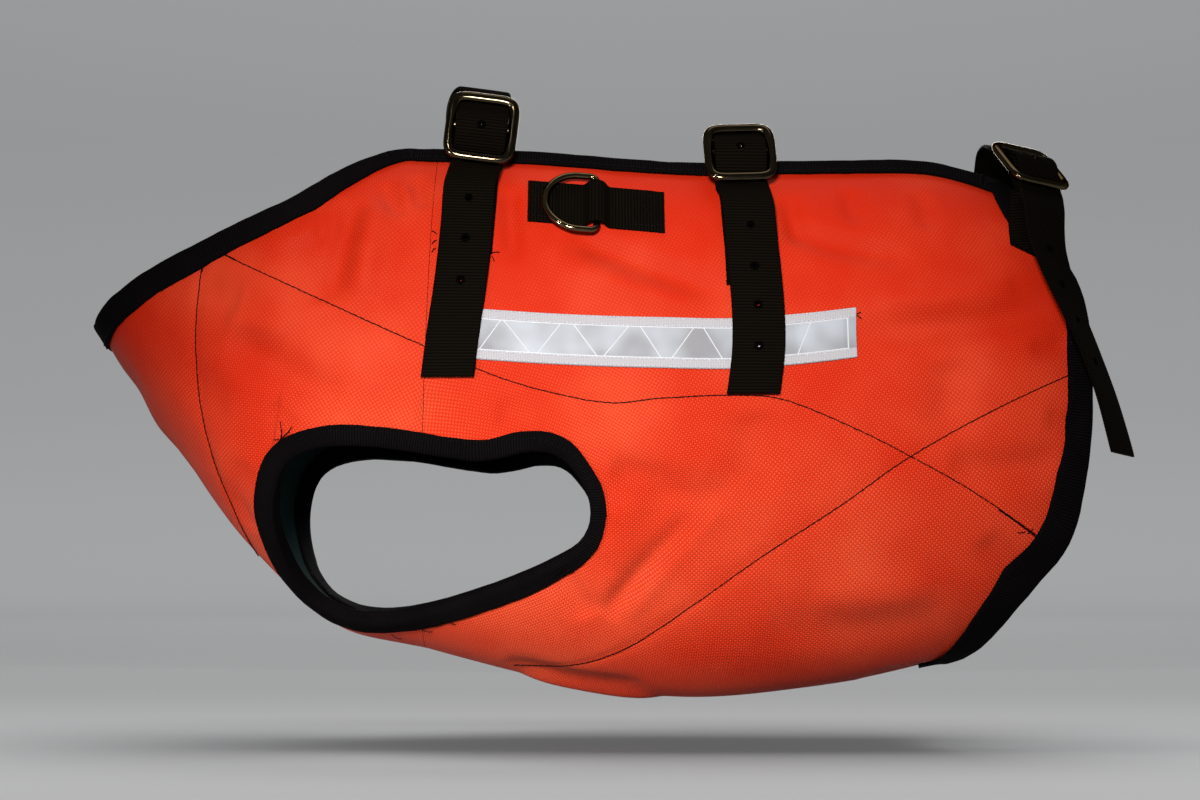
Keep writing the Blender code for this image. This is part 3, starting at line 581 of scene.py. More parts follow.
def lay_flat(piece):
    """Gives an open sheet the UV map it has as a flat cut piece, in metres, with its grain along +X.

    Returns the width and length of the cut."""
    bpy.context.view_layer.objects.active = piece
    piece.select_set(True)
    bpy.ops.object.mode_set(mode="EDIT")
    bpy.ops.mesh.select_all(action="SELECT")
    bpy.ops.uv.unwrap(method="MINIMUM_STRETCH", margin=0.0)
    bpy.ops.object.mode_set(mode="OBJECT")
    piece.select_set(False)
    mesh = piece.data
    flat = np.empty(len(mesh.loops) * 2)
    mesh.uv_layers.active.data.foreach_get("uv", flat)
    flat = flat.reshape(-1, 2)
    corners = np.array([corner.vertex_index for corner in mesh.loops])
    place = coords(mesh)[corners]
    drawn = 0.0
    for face in mesh.polygons:
        ring = flat[face.loop_start:face.loop_start + face.loop_total]
        ahead = np.roll(ring, -1, axis=0)
        drawn += abs(np.sum(ring[:, 0] * ahead[:, 1] - ahead[:, 0] * ring[:, 1])) / 2
    left = place[:, 1] < -LEFT_BEYOND * MM
    slope = np.linalg.lstsq(np.c_[place[left], np.ones(left.sum())], flat[left], rcond=None)[0][0]
    turn = -math.atan2(slope[1], slope[0])
    cosine, sine = math.cos(turn), math.sin(turn)
    flat = flat @ np.array([[cosine, sine], [-sine, cosine]]) * math.sqrt(area_of(piece) / drawn)
    mesh.uv_layers.active.data.foreach_set("uv", flat.ravel())
    mesh.uv_layers.active.name = "cut"
    return np.ptp(flat[:, 1]), np.ptp(flat[:, 0])


# ---------------------------------------------------------------- shell panels
# Two armoured panels of coarse plain-woven nylon, orange red and slightly shiny, cut across
# the belly in one piece each, and joined by a seam behind the forelegs.
YARN_PITCH = 1.12
SHELL_THICKNESS = 2.0
SHELL_RED = (0.84, 0.030, 0.005)
# Painted shade for the gaps between the yarns.
SHELL_SHADE = (0.39, 0.007, 0.0015)
# Lighter worn patches, and also a painted highlight on the top yarns and the lower body.
SHELL_FADE_AND_HIGHLIGHT = (1.0, 0.138, 0.052)
SHELL_SHINE = (1.0, 0.55, 0.4, 1.0)
# Heights: below the first the painted light in the weave is full, above the second 0.3 of it.
WEAVE_LIGHT_FULL_BELOW = -190.0
WEAVE_LIGHT_FADES_ABOVE = -90.0
PANELS = {"front_panel": "front_shell", "body_panel": "body_shell"}
GRAIN = {"front_panel": 4.0, "body_panel": -7.0}


def plain_weave(finish, pitch, turn):
    """Height of a plain weave over the piece's cut, 0 in its gaps to 1 on its yarns."""
    turned = finish.node("ShaderNodeMapping", None, {
        "Vector": finish.cut(), "Rotation": (0, 0, math.radians(turn)),
        "Scale": (1 / pitch, 1 / pitch, 1)})
    warp, weft = (finish.math("SINE", way * math.pi) for way in finish.split(turned.outputs[0])[:2])
    over = warp * weft * 0.35
    high_warp = finish.math("ABSOLUTE", warp) * (over + 0.65)
    high_weft = finish.math("ABSOLUTE", weft) * (0.65 - over)
    return finish.math("MAXIMUM", high_warp, high_weft), over


def shell_finish(turn):
    cloth = Finish("ballistic cloth", SHELL_RED, 0.55, Sheen_Weight=0.05, Sheen_Roughness=0.45,
                   Sheen_Tint=SHELL_SHINE, Specular_IOR_Level=0.16, Specular_Tint=SHELL_SHINE)
    height, over = plain_weave(cloth, YARN_PITCH * MM, turn)
    place = cloth.place()
    wear = cloth.noise(place, 14.0, 3.0)
    fibre = cloth.noise(place, 2600.0, 1.0)
    # plain: share of painted light in the weave and of its bump, full low on the body, less above.
    plain = Value(cloth, cloth.node("ShaderNodeMapRange", None, {
        0: cloth.split(place)[2], 1: WEAVE_LIGHT_FULL_BELOW * MM, 2: WEAVE_LIGHT_FADES_ABOVE * MM, 3: 1.0, 4: 0.3}).outputs[0])
    # The weave's gaps are darkened with painted shade.
    body = cloth.mix((height * 1.3 - 0.7) * plain + 0.55, SHELL_SHADE, SHELL_RED)
    # Top yarns and lower body get a painted highlight; random wear adds real lighter patches.
    fade_and_highlight = (wear - 0.5) * 1.25 + over * plain * 1.3 + plain * 0.26 - 0.02
    faded_and_lit = cloth.mix(fade_and_highlight, body, SHELL_FADE_AND_HIGHLIGHT)
    cloth.shade(Base_Color=faded_and_lit, Roughness=0.62 - height * 0.12)
    cloth.bump(height * plain + fibre * 0.25, 0.34 * MM, 0.9)
    return cloth.material


sheets = {}
for node, name in PANELS.items():
    sheets[node] = smoothed(name, outer_face(node), levels=3)
    lay_flat(sheets[node])
    applied(sheets[node])
unfolded = surface_of(*sheets.values())
FOLD_PATHS = []
grooves = [(view, GROOVE_WIDTH, GROOVE_DEPTH, line)
           for view in ("left", "right") for line in QUILTING]
deeper = [(view, width, FOLD_GAIN * depth, line)
          for view, rows in FOLDS.items() for width, depth, line in rows]
for view, width, depth, drawn in deeper + grooves:
    found = on_cloth(unfolded, view, drawn, step=6.0)
    FOLD_PATHS.append((np.array([hit for hit, _ in found]), np.array([out for _, out in found]),
                       width * MM, depth * MM))
for node, panel in sheets.items():
    set_coords(panel.data, settle(coords(panel.data)))
outside = surface_of(*sheets.values())
for node, panel in sheets.items():
    thickened(panel, SHELL_THICKNESS)
    panel.data.materials.append(shell_finish(GRAIN[node]))
    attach(panel, "vest")
    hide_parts(node)
    # The panels throw no red on the sweep.
    panel.visible_diffuse = False

# ---------------------------------------------------------------- lining
# Thin dark green cloth inside each panel, cut like the panel and caught in the same tape. Its
# weave is finer than the shell's, and it follows the same folds.
LININGS = {"front_lining": "front_inside", "body_lining": "body_inside"}
LINING_PITCH = 0.55
LINING_THICKNESS = 0.8
LINING_GREEN = (0.017, 0.046, 0.042)
# Painted shade for the weave's gaps, also used for random darker patches.
LINING_GAP_SHADE_AND_TONE = (0.009, 0.022, 0.020)


def lining_finish():
    cloth = Finish("lining cloth", LINING_GREEN, 0.85, Sheen_Weight=0.08, Sheen_Roughness=0.4,
                   Specular_IOR_Level=0.1)
    height, _ = plain_weave(cloth, LINING_PITCH * MM, 0)
    # Weave gaps get painted shade; the noise adds real random darker patches.
    share = height * 0.7 + cloth.noise(cloth.place(), 30.0) * 0.3
    cloth.shade(Base_Color=cloth.mix(share, LINING_GAP_SHADE_AND_TONE, LINING_GREEN))
    cloth.bump(height, 0.1 * MM, 0.6)
    return cloth.material


for node, name in LININGS.items():
    lining = smoothed(name, outer_face(node), levels=2)
    cut = lay_flat(lining)
    applied(lining)
    set_coords(lining.data, settle(coords(lining.data)))
    thickened(lining, LINING_THICKNESS)
    lining.data.materials.append(lining_finish())
    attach(lining, "vest")
    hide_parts(node)

# ---------------------------------------------------------------- edge tapes
# Black tape, ribbed across, folded over every raw edge and sewn through near its inner side.
# Its borders waver where the machine caught it unevenly.
TAPES = {"edge_binding": "edge_tape", "left_armhole_binding": "left_armhole_tape",
         "right_armhole_binding": "right_armhole_tape"}
INNER_AXIS = (0, -150)
BORDER_WAVE = 0.8
BORDER_WAVE_LENGTH = 5.5
BORDER_REACH = 5.0
TAPE_WAVE = 0.3
TAPE_WAVE_LENGTH = 9.0
TAPE_RIB = 1.3
TAPE_BLACK = (0.0085, 0.0066, 0.0068)
# Painted shade between the ribs.
TAPE_RIB_SHADE = (0.0008, 0.0006, 0.0007)
WAVER_SEED = 4
# Without a seed of its own, noise takes the time of day, and every run bends the tapes otherwise.
noise.seed_set(WAVER_SEED)


def tape_finish():
    tape = Finish("ribbed tape", TAPE_BLACK, 0.9, Specular_IOR_Level=0.02)
    rib = tape.ribs(tape.split(tape.cut())[0], TAPE_RIB * MM)
    place = tape.place()
    grain = tape.noise(place, 1500.0)
    # Rib grooves get painted shade; the rib backs vary with the noise.
    share = rib * (grain * 0.7 + tape.noise(place, 45.0) * 0.5)
    tape.shade(Base_Color=tape.mix(share, TAPE_RIB_SHADE, TAPE_BLACK))
    tape.bump(rib + grain * 0.5, 0.2 * MM, 0.7)
    return tape.material


def wind(tape, path):
    """A tape's cut: the distance along its closed path, and the distance from it."""
    length = np.sum(np.linalg.norm(np.diff(path, axis=0), axis=1))
    away, share, _ = nearest_on(path, coords(tape.data))
    corners = np.array([corner.vertex_index for corner in tape.data.loops])
    turns = length / (TAPE_RIB * MM)
    along = share[corners] * round(turns) * TAPE_RIB * MM
    for face in tape.data.polygons:
        ring = along[face.loop_start:face.loop_start + face.loop_total]
        ring[ring < ring.max() - length / 2] += round(turns) * TAPE_RIB * MM
    tape.data.uv_layers.new(name="cut").data.foreach_set("uv", np.c_[along, away[corners]].ravel())


def creases(node):
    """A CAD node's sharp lines: those that run between corners, and those that close on themselves."""
    cloth = welded(node)
    # In the mesh's own order, because a set of edges comes in another order on each run.
    sharp = dict.fromkeys(e for e in cloth.edges if e.is_manifold and e.calc_face_angle() > CREASED)
    meeting = {v: [e for e in v.link_edges if e in sharp] for v in cloth.verts}
    ends = [v for v in cloth.verts if len(meeting[v]) == 3]
    lines = {}
    used = set()
    for end in ends:
        for edge in meeting[end]:
            run = [end]
            while len(run) == 1 or len(meeting[run[-1]]) == 2:
                used.add(edge)
                run.append(edge.other_vert(run[-1]))
                if len(meeting[run[-1]]) == 2:
                    edge = next(e for e in meeting[run[-1]] if e != edge)
            lines[frozenset((run[0], run[-1]))] = [v.co.copy() for v in run]
    loops = []
    for edge in sharp:
        loop = []
        vert = edge.verts[0]
        while edge not in used:
            used.add(edge)
            lip = min(edge.link_faces, key=lambda face: face.calc_area())
            loop.append(((edge.verts[0].co + edge.verts[1].co) / 2, lip.normal.copy()))
            vert = edge.other_vert(vert)
            edge = next((e for e in meeting[vert] if e not in used), edge)
        if loop:
            loops.append(loop)
    cloth.free()
    return list(lines.values()), loops


def outer_border(node):
    """A tape's border on the outside of the vest: its points, and the ways off the tape."""
    _, loops = creases(node)
    longest = max(len(loop) for loop in loops)
    loops = [loop for loop in loops if len(loop) > longest / 2]
    axis = np.array(INNER_AXIS) * MM
    spread = [np.mean([np.linalg.norm(np.array(spot)[1:] - axis) for spot, _ in loop])
              for loop in loops]
    return loops[int(np.argmax(spread))]


def waver(points, size, length):
    """Small uneven waves, such as sewing leaves in a taped edge."""
    return points + size * np.array([noise.noise_vector(Vector(p) / length) for p in points])


tapes = {}
borders = {}
for node, name in TAPES.items():
    tape = applied(smoothed(name, gather(node), levels=2))
    borders[node] = outer_border(node)
    path = np.array([spot for spot, _ in borders[node]])
    path = np.vstack((path, path[:1]))
    wind(tape, path)
    points = coords(tape.data)
    away, _, which = nearest_on(path, points)
    ways = np.array([lip for _, lip in borders[node]])[which]
    pull = np.array([noise.noise(Vector(spot) / (BORDER_WAVE_LENGTH * MM)) for spot in path[which]])
    pull *= BORDER_WAVE * MM * np.clip(1 - away / (BORDER_REACH * MM), 0, 1)
    points = settle(points + ways * pull[:, None])
    points = waver(points, TAPE_WAVE * MM, TAPE_WAVE_LENGTH * MM)
    set_coords(tape.data, points)
    tape.data.materials.append(tape_finish())
    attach(tape, "vest")
    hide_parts(node)
    tapes[node] = tape

# ---------------------------------------------------------------- webbing straps
# 25 mm black nylon webbing, woven with ribs across and close selvedges. Three long straps are
# sewn to the right side, run over the back and through their buckles, and hang on the left
# side with punched holes; a short strip sewn along the left side holds the ring in a loop.
RIB_PITCH = 1.5
RIB_DEPTH = 0.22
RIB_FADE = 1.2
SELVEDGE_FROM = 11.5
SELVEDGE_RIBS = 0.4
EDGE_SAMPLES = 12
HALF_PROFILE = (
    (-12.5, 0.0), (-12.35, 0.38), (-11.8, 0.66), (-10.9, 0.58), (-8.0, 0.64), (-4.0, 0.66),
    (0.0, 0.67), (4.0, 0.66), (8.0, 0.64), (10.9, 0.58), (11.8, 0.66), (12.35, 0.38),
)
WEBBING_BLACK = (0.0082, 0.0056, 0.0028)
# Painted shade in the valleys between the ribs.
WEBBING_RIB_SHADE = (0.0004, 0.0003, 0.0003)
HOLE_RADIUS = 1.95
HOLE_SIDES = 20
PUNCH_DEPTH = 7.0
RIM_RADIUS = 1.45
RIM_WIRE = 0.78
STRAPS = {
    # CAD node: name, and the way to the end that comes first
    "front_long_strap": ("front_strap", (0, 1, 0)),
    "middle_long_strap": ("middle_strap", (0, 1, 0)),
    "rear_long_strap": ("rear_strap", (0, 1, 0)),
    "ring_webbing": ("ring_strip", (-1, 0, 0)),
}


def webbing_finish(name, direction=None):
    """Ribbed weave; its ribs follow the strap's cut, or cross a direction where it has none."""
    webbing = Finish(name, WEBBING_BLACK, 0.5, Specular_IOR_Level=0.02)
    place = webbing.place()
    yarn = webbing.noise(place, 1700.0)
    # Ribs that follow the cut are in the strap's mesh, so they need no bump.
    if direction is None:
        reach = webbing.split(webbing.cut())[0]
        rib_bump, depth = 0.0, 0.12
    else:
        dot = webbing.node("ShaderNodeVectorMath", {"operation": "DOT_PRODUCT"},
                           {0: place, 1: tuple(direction)})
        reach = Value(webbing, dot.outputs["Value"])
        rib_bump, depth = 1.0, 0.3
    rib = webbing.ribs(reach, RIB_PITCH * MM)
    # Rib valleys get painted shade; the rib backs stay lighter, varied by the yarn noise.
    webbing.shade(Base_Color=webbing.mix(rib * (0.35 + 0.65 * yarn), WEBBING_RIB_SHADE, WEBBING_BLACK),
                  Roughness=0.65 + yarn * 0.2)
    webbing.bump(yarn * 0.4 + rib * rib_bump, depth * MM, 0.7)
    return webbing.material


def unit(vectors):
    return vectors / np.linalg.norm(vectors, axis=1)[:, None]


def between(spots, reach, line):
    """Points of a line at distances along it, where reach is the distance at each of its points."""
    return np.stack([np.interp(spots, reach, line[:, axis]) for axis in range(3)], axis=-1)


def resampled(line, share):
    """Points of a line at shares of its length."""
    reach = distances(line)
    return between(share * reach[-1], reach, line)


class Ribbon:
    """A strap's middle line at even steps, with the ways across it and out of it."""

    def __init__(self, node, first, step):
        lines, loops = creases(node)
        lines.sort(key=lambda run: sum((b - a).length for a, b in zip(run, run[1:])))
        way = Vector(first)
        longest = [run if run[0].dot(way) > run[-1].dot(way) else run[::-1] for run in lines[-4:]]
        corner = longest[0][0]
        longest.sort(key=lambda run: (run[0] - corner).length)
        edges = []
        for pair in (longest[:2], longest[2:]):
            edges.append(curve_through([(a + b) / 2 for a, b in zip(*pair)], 0.001))
        count = EDGE_SAMPLES * max(len(edge) for edge in edges)
        left, right = (resampled(np.array(edge), np.linspace(0, 1, count)) for edge in edges)
        middle = (left + right) / 2
        reach = distances(middle)
        self.length = reach[-1]
        self.reach = np.linspace(0, 1, round(self.length / step) + 1) * self.length
        middle, left, right = (between(self.reach, reach, line) for line in (middle, left, right))
        self.middle = middle
        self.across = unit(right - left)
        self.out = unit(np.cross(np.gradient(middle, axis=0), self.across))
        inner = np.c_[middle[:, 0], np.tile(np.array(INNER_AXIS) * MM, (len(middle), 1))]
        if np.sum(self.out * (middle - inner)) < 0:
            self.across, self.out = -self.across, -self.out
        self.holes = []
        for loop in loops:
            centre = sum((spot for spot, _ in loop), Vector()) / len(loop)
            place = int(np.argmin(np.linalg.norm(middle - np.array(centre), axis=1)))
            if all(abs(place - other) > 3 for other, _ in self.holes):
                self.holes.append((place, centre))

    def at(self, along, across, out):
        """Points at distances along the strap, across it and out of its middle, all in metres."""
        along, across, out = np.broadcast_arrays(along, across, out)
        spot, side, face = (between(along, self.reach, line)
                            for line in (self.middle, self.across, self.out))
        return spot + side * across[..., None] + face * out[..., None]


def closed_mesh(name, points, faces, sharp):
    """A mesh whose faces all look outwards, smooth but for edges over an angle."""
    mesh = bpy.data.meshes.new(name)
    mesh.from_pydata(points, [], faces)
    build = bmesh.new()
    build.from_mesh(mesh)
    bmesh.ops.recalc_face_normals(build, faces=build.faces)
    build.to_mesh(mesh)
    build.free()
    mesh.shade_smooth()
    mesh.set_sharp_from_angle(angle=sharp)
    return mesh


def loft(name, ribbon, across, out, material):
    """A strap on its ribbon: a profile's places across and out of it, with the UV map of its cut."""
    rows = ribbon.at(ribbon.reach[:, None], across, out)
    cut = np.stack(np.broadcast_arrays(ribbon.reach[:, None], across), axis=-1)
    count, around, _ = rows.shape
    ring = np.arange(around)
    ahead = np.roll(ring, -1)
    first = np.arange(count - 1)[:, None] * around
    quads = np.stack([first + ring, first + ahead, first + around + ahead, first + around + ring],
                     axis=-1)
    faces = quads.reshape(-1, 4).tolist()
    faces += [list(range(around))[::-1], list(range((count - 1) * around, count * around))]
    mesh = closed_mesh(name, settle(rows.reshape(-1, 3)).tolist(), faces, SHADED_SHARP)
    corner = np.empty(len(mesh.loops), dtype=np.int64)
    mesh.loops.foreach_get("vertex_index", corner)
    mesh.uv_layers.new(name="cut").data.foreach_set("uv", cut.reshape(-1, 2)[corner].ravel())
    return link(name, mesh, material)


def punch(piece, spots):
    """Holes through a strap at spots, each a point and a direction."""
    tool = bmesh.new()
    for spot, direction in spots:
        turn = Vector(direction).to_track_quat("Z", "Y").to_matrix().to_4x4()
        turn.translation = spot
        bmesh.ops.create_cone(tool, cap_ends=True, segments=HOLE_SIDES, matrix=turn,
                              radius1=HOLE_RADIUS * MM, radius2=HOLE_RADIUS * MM,
                              depth=PUNCH_DEPTH * MM)
    mesh = bpy.data.meshes.new("punch")
    tool.to_mesh(mesh)
    tool.free()
    cutter = link("punch", mesh)
    cut = piece.modifiers.new("holes", "BOOLEAN")
    cut.operation = "DIFFERENCE"
    cut.solver = "EXACT"
    cut.object = cutter
    applied(piece)
    bpy.data.objects.remove(cutter, do_unlink=True)


def wire(points, radius, normal, closed=False, sides=12, flat=1.0):
    """Vertices and faces of a wire, flattened along normal, a direction that it never runs along."""
    points = np.array(points)
    if closed:
        tangent = np.roll(points, -1, axis=0) - np.roll(points, 1, axis=0)
    else:
        tangent = np.gradient(points, axis=0)
    side = unit(np.cross(tangent, np.array(normal)))
    up = unit(np.cross(side, tangent))
    turn = np.arange(sides) * 2 * math.pi / sides
    thick = np.broadcast_to(radius, len(points))[:, None, None]
    rings = points[:, None] + thick * (np.cos(turn)[:, None] * side[:, None]
                                       + np.sin(turn)[:, None] * up[:, None] * flat)
    count = len(points)
    faces = []
    for row in range(count if closed else count - 1):
        after = (row + 1) % count
        faces += [(row * sides + k, row * sides + (k + 1) % sides,
                   after * sides + (k + 1) % sides, after * sides + k) for k in range(sides)]
    if not closed:
        faces += [tuple(range(sides)), tuple((count - 1) * sides + k for k in range(sides))]
    return rings.reshape(-1, 3).tolist(), faces


def wires(name, parts, material):
    """One mesh from several wires."""
    points, faces = [], []
    for part_points, part_faces in parts:
        faces += [[v + len(points) for v in face] for face in part_faces]
        points += part_points
    return link(name, closed_mesh(name, points, faces, SHARP), material)


TWISTS = {
    # CAD node: degrees its tail is turned by, and where along the strap the turn starts
    "rear_long_strap": (10.0, 0.75),
}
ribbons = {}
webbing_plain = webbing_finish("ribbed webbing")
for node, (name, first) in STRAPS.items():
    ribbon = ribbons[node] = Ribbon(node, first, RIB_PITCH / 4 * MM)
    if node in TWISTS:
        angle, start = TWISTS[node]
        share = np.clip((ribbon.reach / ribbon.length - start) / (1 - start), 0, 1)[:, None]
        turn = np.radians(angle) * share * share * (3 - 2 * share)
        ribbon.across, ribbon.out = (ribbon.across * np.cos(turn) + ribbon.out * np.sin(turn),
                                     ribbon.out * np.cos(turn) - ribbon.across * np.sin(turn))
    outline = np.array(HALF_PROFILE + tuple((-a, -b) for a, b in HALF_PROFILE)) * MM
    rib = np.abs(np.sin(math.pi * ribbon.reach / (RIB_PITCH * MM)))
    to_end = np.minimum(ribbon.reach, ribbon.length - ribbon.reach) / (RIB_FADE * MM)
    rise = RIB_DEPTH * MM * (rib * np.clip(to_end, 0, 1) - 0.5 * (to_end < 1))
    selvedge = np.abs(outline[:, 0]) > SELVEDGE_FROM * MM
    face = np.sign(outline[:, 1]) * np.where(selvedge, SELVEDGE_RIBS, 1.0)
    strap = loft(name, ribbon, outline[:, 0], outline[:, 1] + rise[:, None] * face, webbing_plain)
    if ribbon.holes:
        rims = []
        for place, spot in ribbon.holes:
            side, face = ribbon.across[place], ribbon.out[place]
            turn = np.linspace(0, 2 * math.pi, HOLE_SIDES, endpoint=False)[:, None]
            circle = np.cos(turn) * side + np.sin(turn) * np.cross(face, side)
            circle = np.array(spot) + circle * RIM_RADIUS * MM
            rims.append(wire(settle(circle), RIM_WIRE * MM, face, closed=True, sides=8))
        punch(strap, [(Vector(settle(np.array([spot]))[0]), ribbon.out[place])
                      for place, spot in ribbon.holes])
        melted = wires(f"{name}_rims", rims, webbing_plain)
        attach(melted, "vest")
    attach(strap, "vest")
    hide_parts(node)

# ---------------------------------------------------------------- base straps
# Short pieces of the same webbing, folded round each buckle's middle bar and sewn down on the
# left side, where they lie under the long straps.
BASE_STRAPS = {
    # CAD node: name, and the way along it
    "front_base_strap": ("front_base", (-0.10, -0.16, -1.0)),
    "middle_base_strap": ("middle_base", (0.03, -0.4, -0.9)),
    "rear_base_strap": ("rear_base", (0.25, -0.6, -0.75)),
}
for node, (name, direction) in BASE_STRAPS.items():
    strap = applied(smoothed(name, gather(node), levels=2))
    set_coords(strap.data, settle(coords(strap.data)))
    strap.data.materials.append(webbing_finish(f"{name} webbing", Vector(direction).normalized()))
    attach(strap, "vest")
    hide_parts(node)

# ---------------------------------------------------------------- reflective strip
# A flat tape sewn along the left side by its two white woven borders. Its middle is a prismatic
# film, crossed by white welded lines in pairs and closed by a line near its free end.
STRIP_HALF = 12.0
FILM_HALF = 7.3
TEETH_FROM = 11.5
BORDER_TEETH = 1.6
TEETH_DEPTH = 0.16
CROSS_PITCH = 0.7
BORDER_WHITE = (0.62, 0.58, 0.59)
# Painted shade for the gaps of the woven borders.
BORDER_SHADE = (0.34, 0.32, 0.34)
FILM_GREY = (0.29, 0.28, 0.29)
FILM_BLUE = (0.52, 0.54, 0.58)
WELD_WHITE = (0.72, 0.72, 0.74)
WELD_LINES = (
    # x of the line's top and of its bottom
    (-117.5, -127.4), (-116.1, -103.9), (-89.3, -100.1), (-83.2, -72.3), (-57.3, -69.1),
    (-51.7, -42.3), (-26.7, -37.1), (-22.0, -13.5), (28.5, 22.0),
)
END_LINE = 4.0
WELD_POINTS = 12


def strip_finish():
    tape = Finish("prismatic tape", BORDER_WHITE, 0.5, Specular_IOR_Level=0.22)
    along, across, _ = tape.split(tape.cut())
    border = tape.math("GREATER_THAN", tape.math("ABSOLUTE", across), FILM_HALF * MM)
    weave = tape.ribs(along, BORDER_TEETH / 2 * MM) * 0.6 + tape.ribs(across, CROSS_PITCH * MM) * 0.4
    place = tape.place()
    cloud = (tape.noise(place, 55.0, 1.0) - 0.5) * 2.6 + 0.45
    cloud = tape.math("MINIMUM", tape.math("MAXIMUM", cloud, 0.0), 1.0)
    prism = tape.node("ShaderNodeTexVoronoi", None, {"Vector": place, "Scale": 900.0})
    glint = Value(tape, prism.outputs["Distance"])
    film = tape.mix(cloud, FILM_GREY, FILM_BLUE)
    # The borders' weave gaps get painted shade.
    edging = tape.mix(weave, BORDER_SHADE, BORDER_WHITE)
    tape.shade(Base_Color=tape.mix(border, film, edging),
               Roughness=border * 0.2 + 0.4 + glint * 0.1)
    tape.bump(border * weave + (1 - border) * glint * 0.3, 0.12 * MM, 0.6)
    return tape.material


strip_line = Ribbon("reflective_strip", (-1, 0, 0), BORDER_TEETH / 6 * MM)
strip_profile = []
for side in (1, -1):
    strip_profile += [(side * a, side * b) for a, b in (
        (-STRIP_HALF, 0.0), (-STRIP_HALF + 0.25, 0.38), (-11.0, 0.5), (-FILM_HALF - 0.7, 0.48),
        (-FILM_HALF, 0.36), (-3.6, 0.4), (0.0, 0.42), (3.6, 0.4), (FILM_HALF, 0.36),
        (FILM_HALF + 0.7, 0.48), (11.0, 0.5), (STRIP_HALF - 0.25, 0.38))]
strip_profile = np.array(strip_profile) * MM
teeth = TEETH_DEPTH * MM * np.abs(np.sin(math.pi * strip_line.reach / (BORDER_TEETH * MM)))
toothed = np.abs(strip_profile[:, 0]) > TEETH_FROM * MM
spread = strip_profile[:, 0] + teeth[:, None] * np.where(toothed, np.sign(strip_profile[:, 0]), 0.0)
strip = loft("reflector", strip_line, spread, strip_profile[:, 1], strip_finish())
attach(strip, "vest")
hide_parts("reflective_strip")


def weld(along, across, rise, radius, sides=8):
    """A welded line, at places along the strip, across it and over its middle."""
    return wire(settle(strip_line.at(along, across, rise * MM)), radius * MM, (0, -1, 0), sides=sides)


weld_wires = []
end = strip_line.length - END_LINE * MM
film_wide = np.linspace(FILM_HALF, -FILM_HALF, WELD_POINTS) * MM
for top, bottom in WELD_LINES:
    line = np.linspace(top, bottom, WELD_POINTS) * MM
    along = np.interp(line, strip_line.middle[:, 0], strip_line.reach)
    weld_wires.append(weld(along, film_wide, rise=0.22, radius=0.34))
weld_wires.append(weld(end, film_wide, rise=0.22, radius=0.45))
for side in (-1, 1):
    along = np.linspace(1.0 * MM, end, 240)
    weld_wires.append(weld(along, side * FILM_HALF * MM, rise=0.2, radius=0.36, sides=6))
weld_finish = Finish("welded lines", WELD_WHITE, 0.35)
weld_finish.shade(Roughness=0.25 + weld_finish.noise(weld_finish.place(), 400.0) * 0.3)
welds = wires("welds", weld_wires, weld_finish.material)
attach(welds, "vest")

# ---------------------------------------------------------------- buckles
# Three cast and polished frames of dark nickel, nearly square with round corners, with a middle
# bar. A short prong turns on each bar and stands through a hole of the long strap.
BUCKLES = {
    # centre, way across the strap, way along it to its tail
    "front": ((-128, -62.5, -8.5), (0.99, 0.04, -0.12), (-0.10, -0.16, -1)),
    "middle": ((-3, -56.5, -19.5), (0.995, 0.04, 0.03), (0.03, -0.5, -0.87)),
    "rear": ((140.5, -41, -23.5), (0.87, 0.45, -0.10), (0.22, -0.73, -0.64)),
}
BUCKLE_HALF = 15.9
BUCKLE_SQUARENESS = 6
BUCKLE_POINTS = 120
BUCKLE_WIRE = 2.05
RAIL_HALF = 2.55
RAIL_MIDDLE = 15.0
BUCKLE_BAR = 1.5
PRONG_RING = 2.7
PRONG_WIRE = 0.9
PRONG_TIP = 5.6
PRONG_TAPER = (1, 1, 0.7, 0.2)
TURN_POINTS = 144
TURN_START = 0.01
SMOKY_NICKEL = (0.07, 0.052, 0.03)
EDGE_DARK = (0.3, 0.26, 0.2)


def metal_finish(name, colour, roughness):
    metal = Finish(name, colour, roughness, Metallic=1.0, Specular_Tint=(*EDGE_DARK, 1.0))
    cloud = metal.noise(metal.place(), 120.0)
    dark, light = (tuple(share * c for c in colour) for share in (0.75, 1.25))
    metal.shade(Base_Color=metal.mix(cloud, dark, light),
                Roughness=roughness * 0.7 + cloud * (roughness * 0.6))
    return metal.material


def squared(turn):
    """A cosine or sine that is drawn out towards the corners of a rounded square."""
    return (np.sign(turn) * np.abs(turn) ** (2 / BUCKLE_SQUARENESS))[:, None]


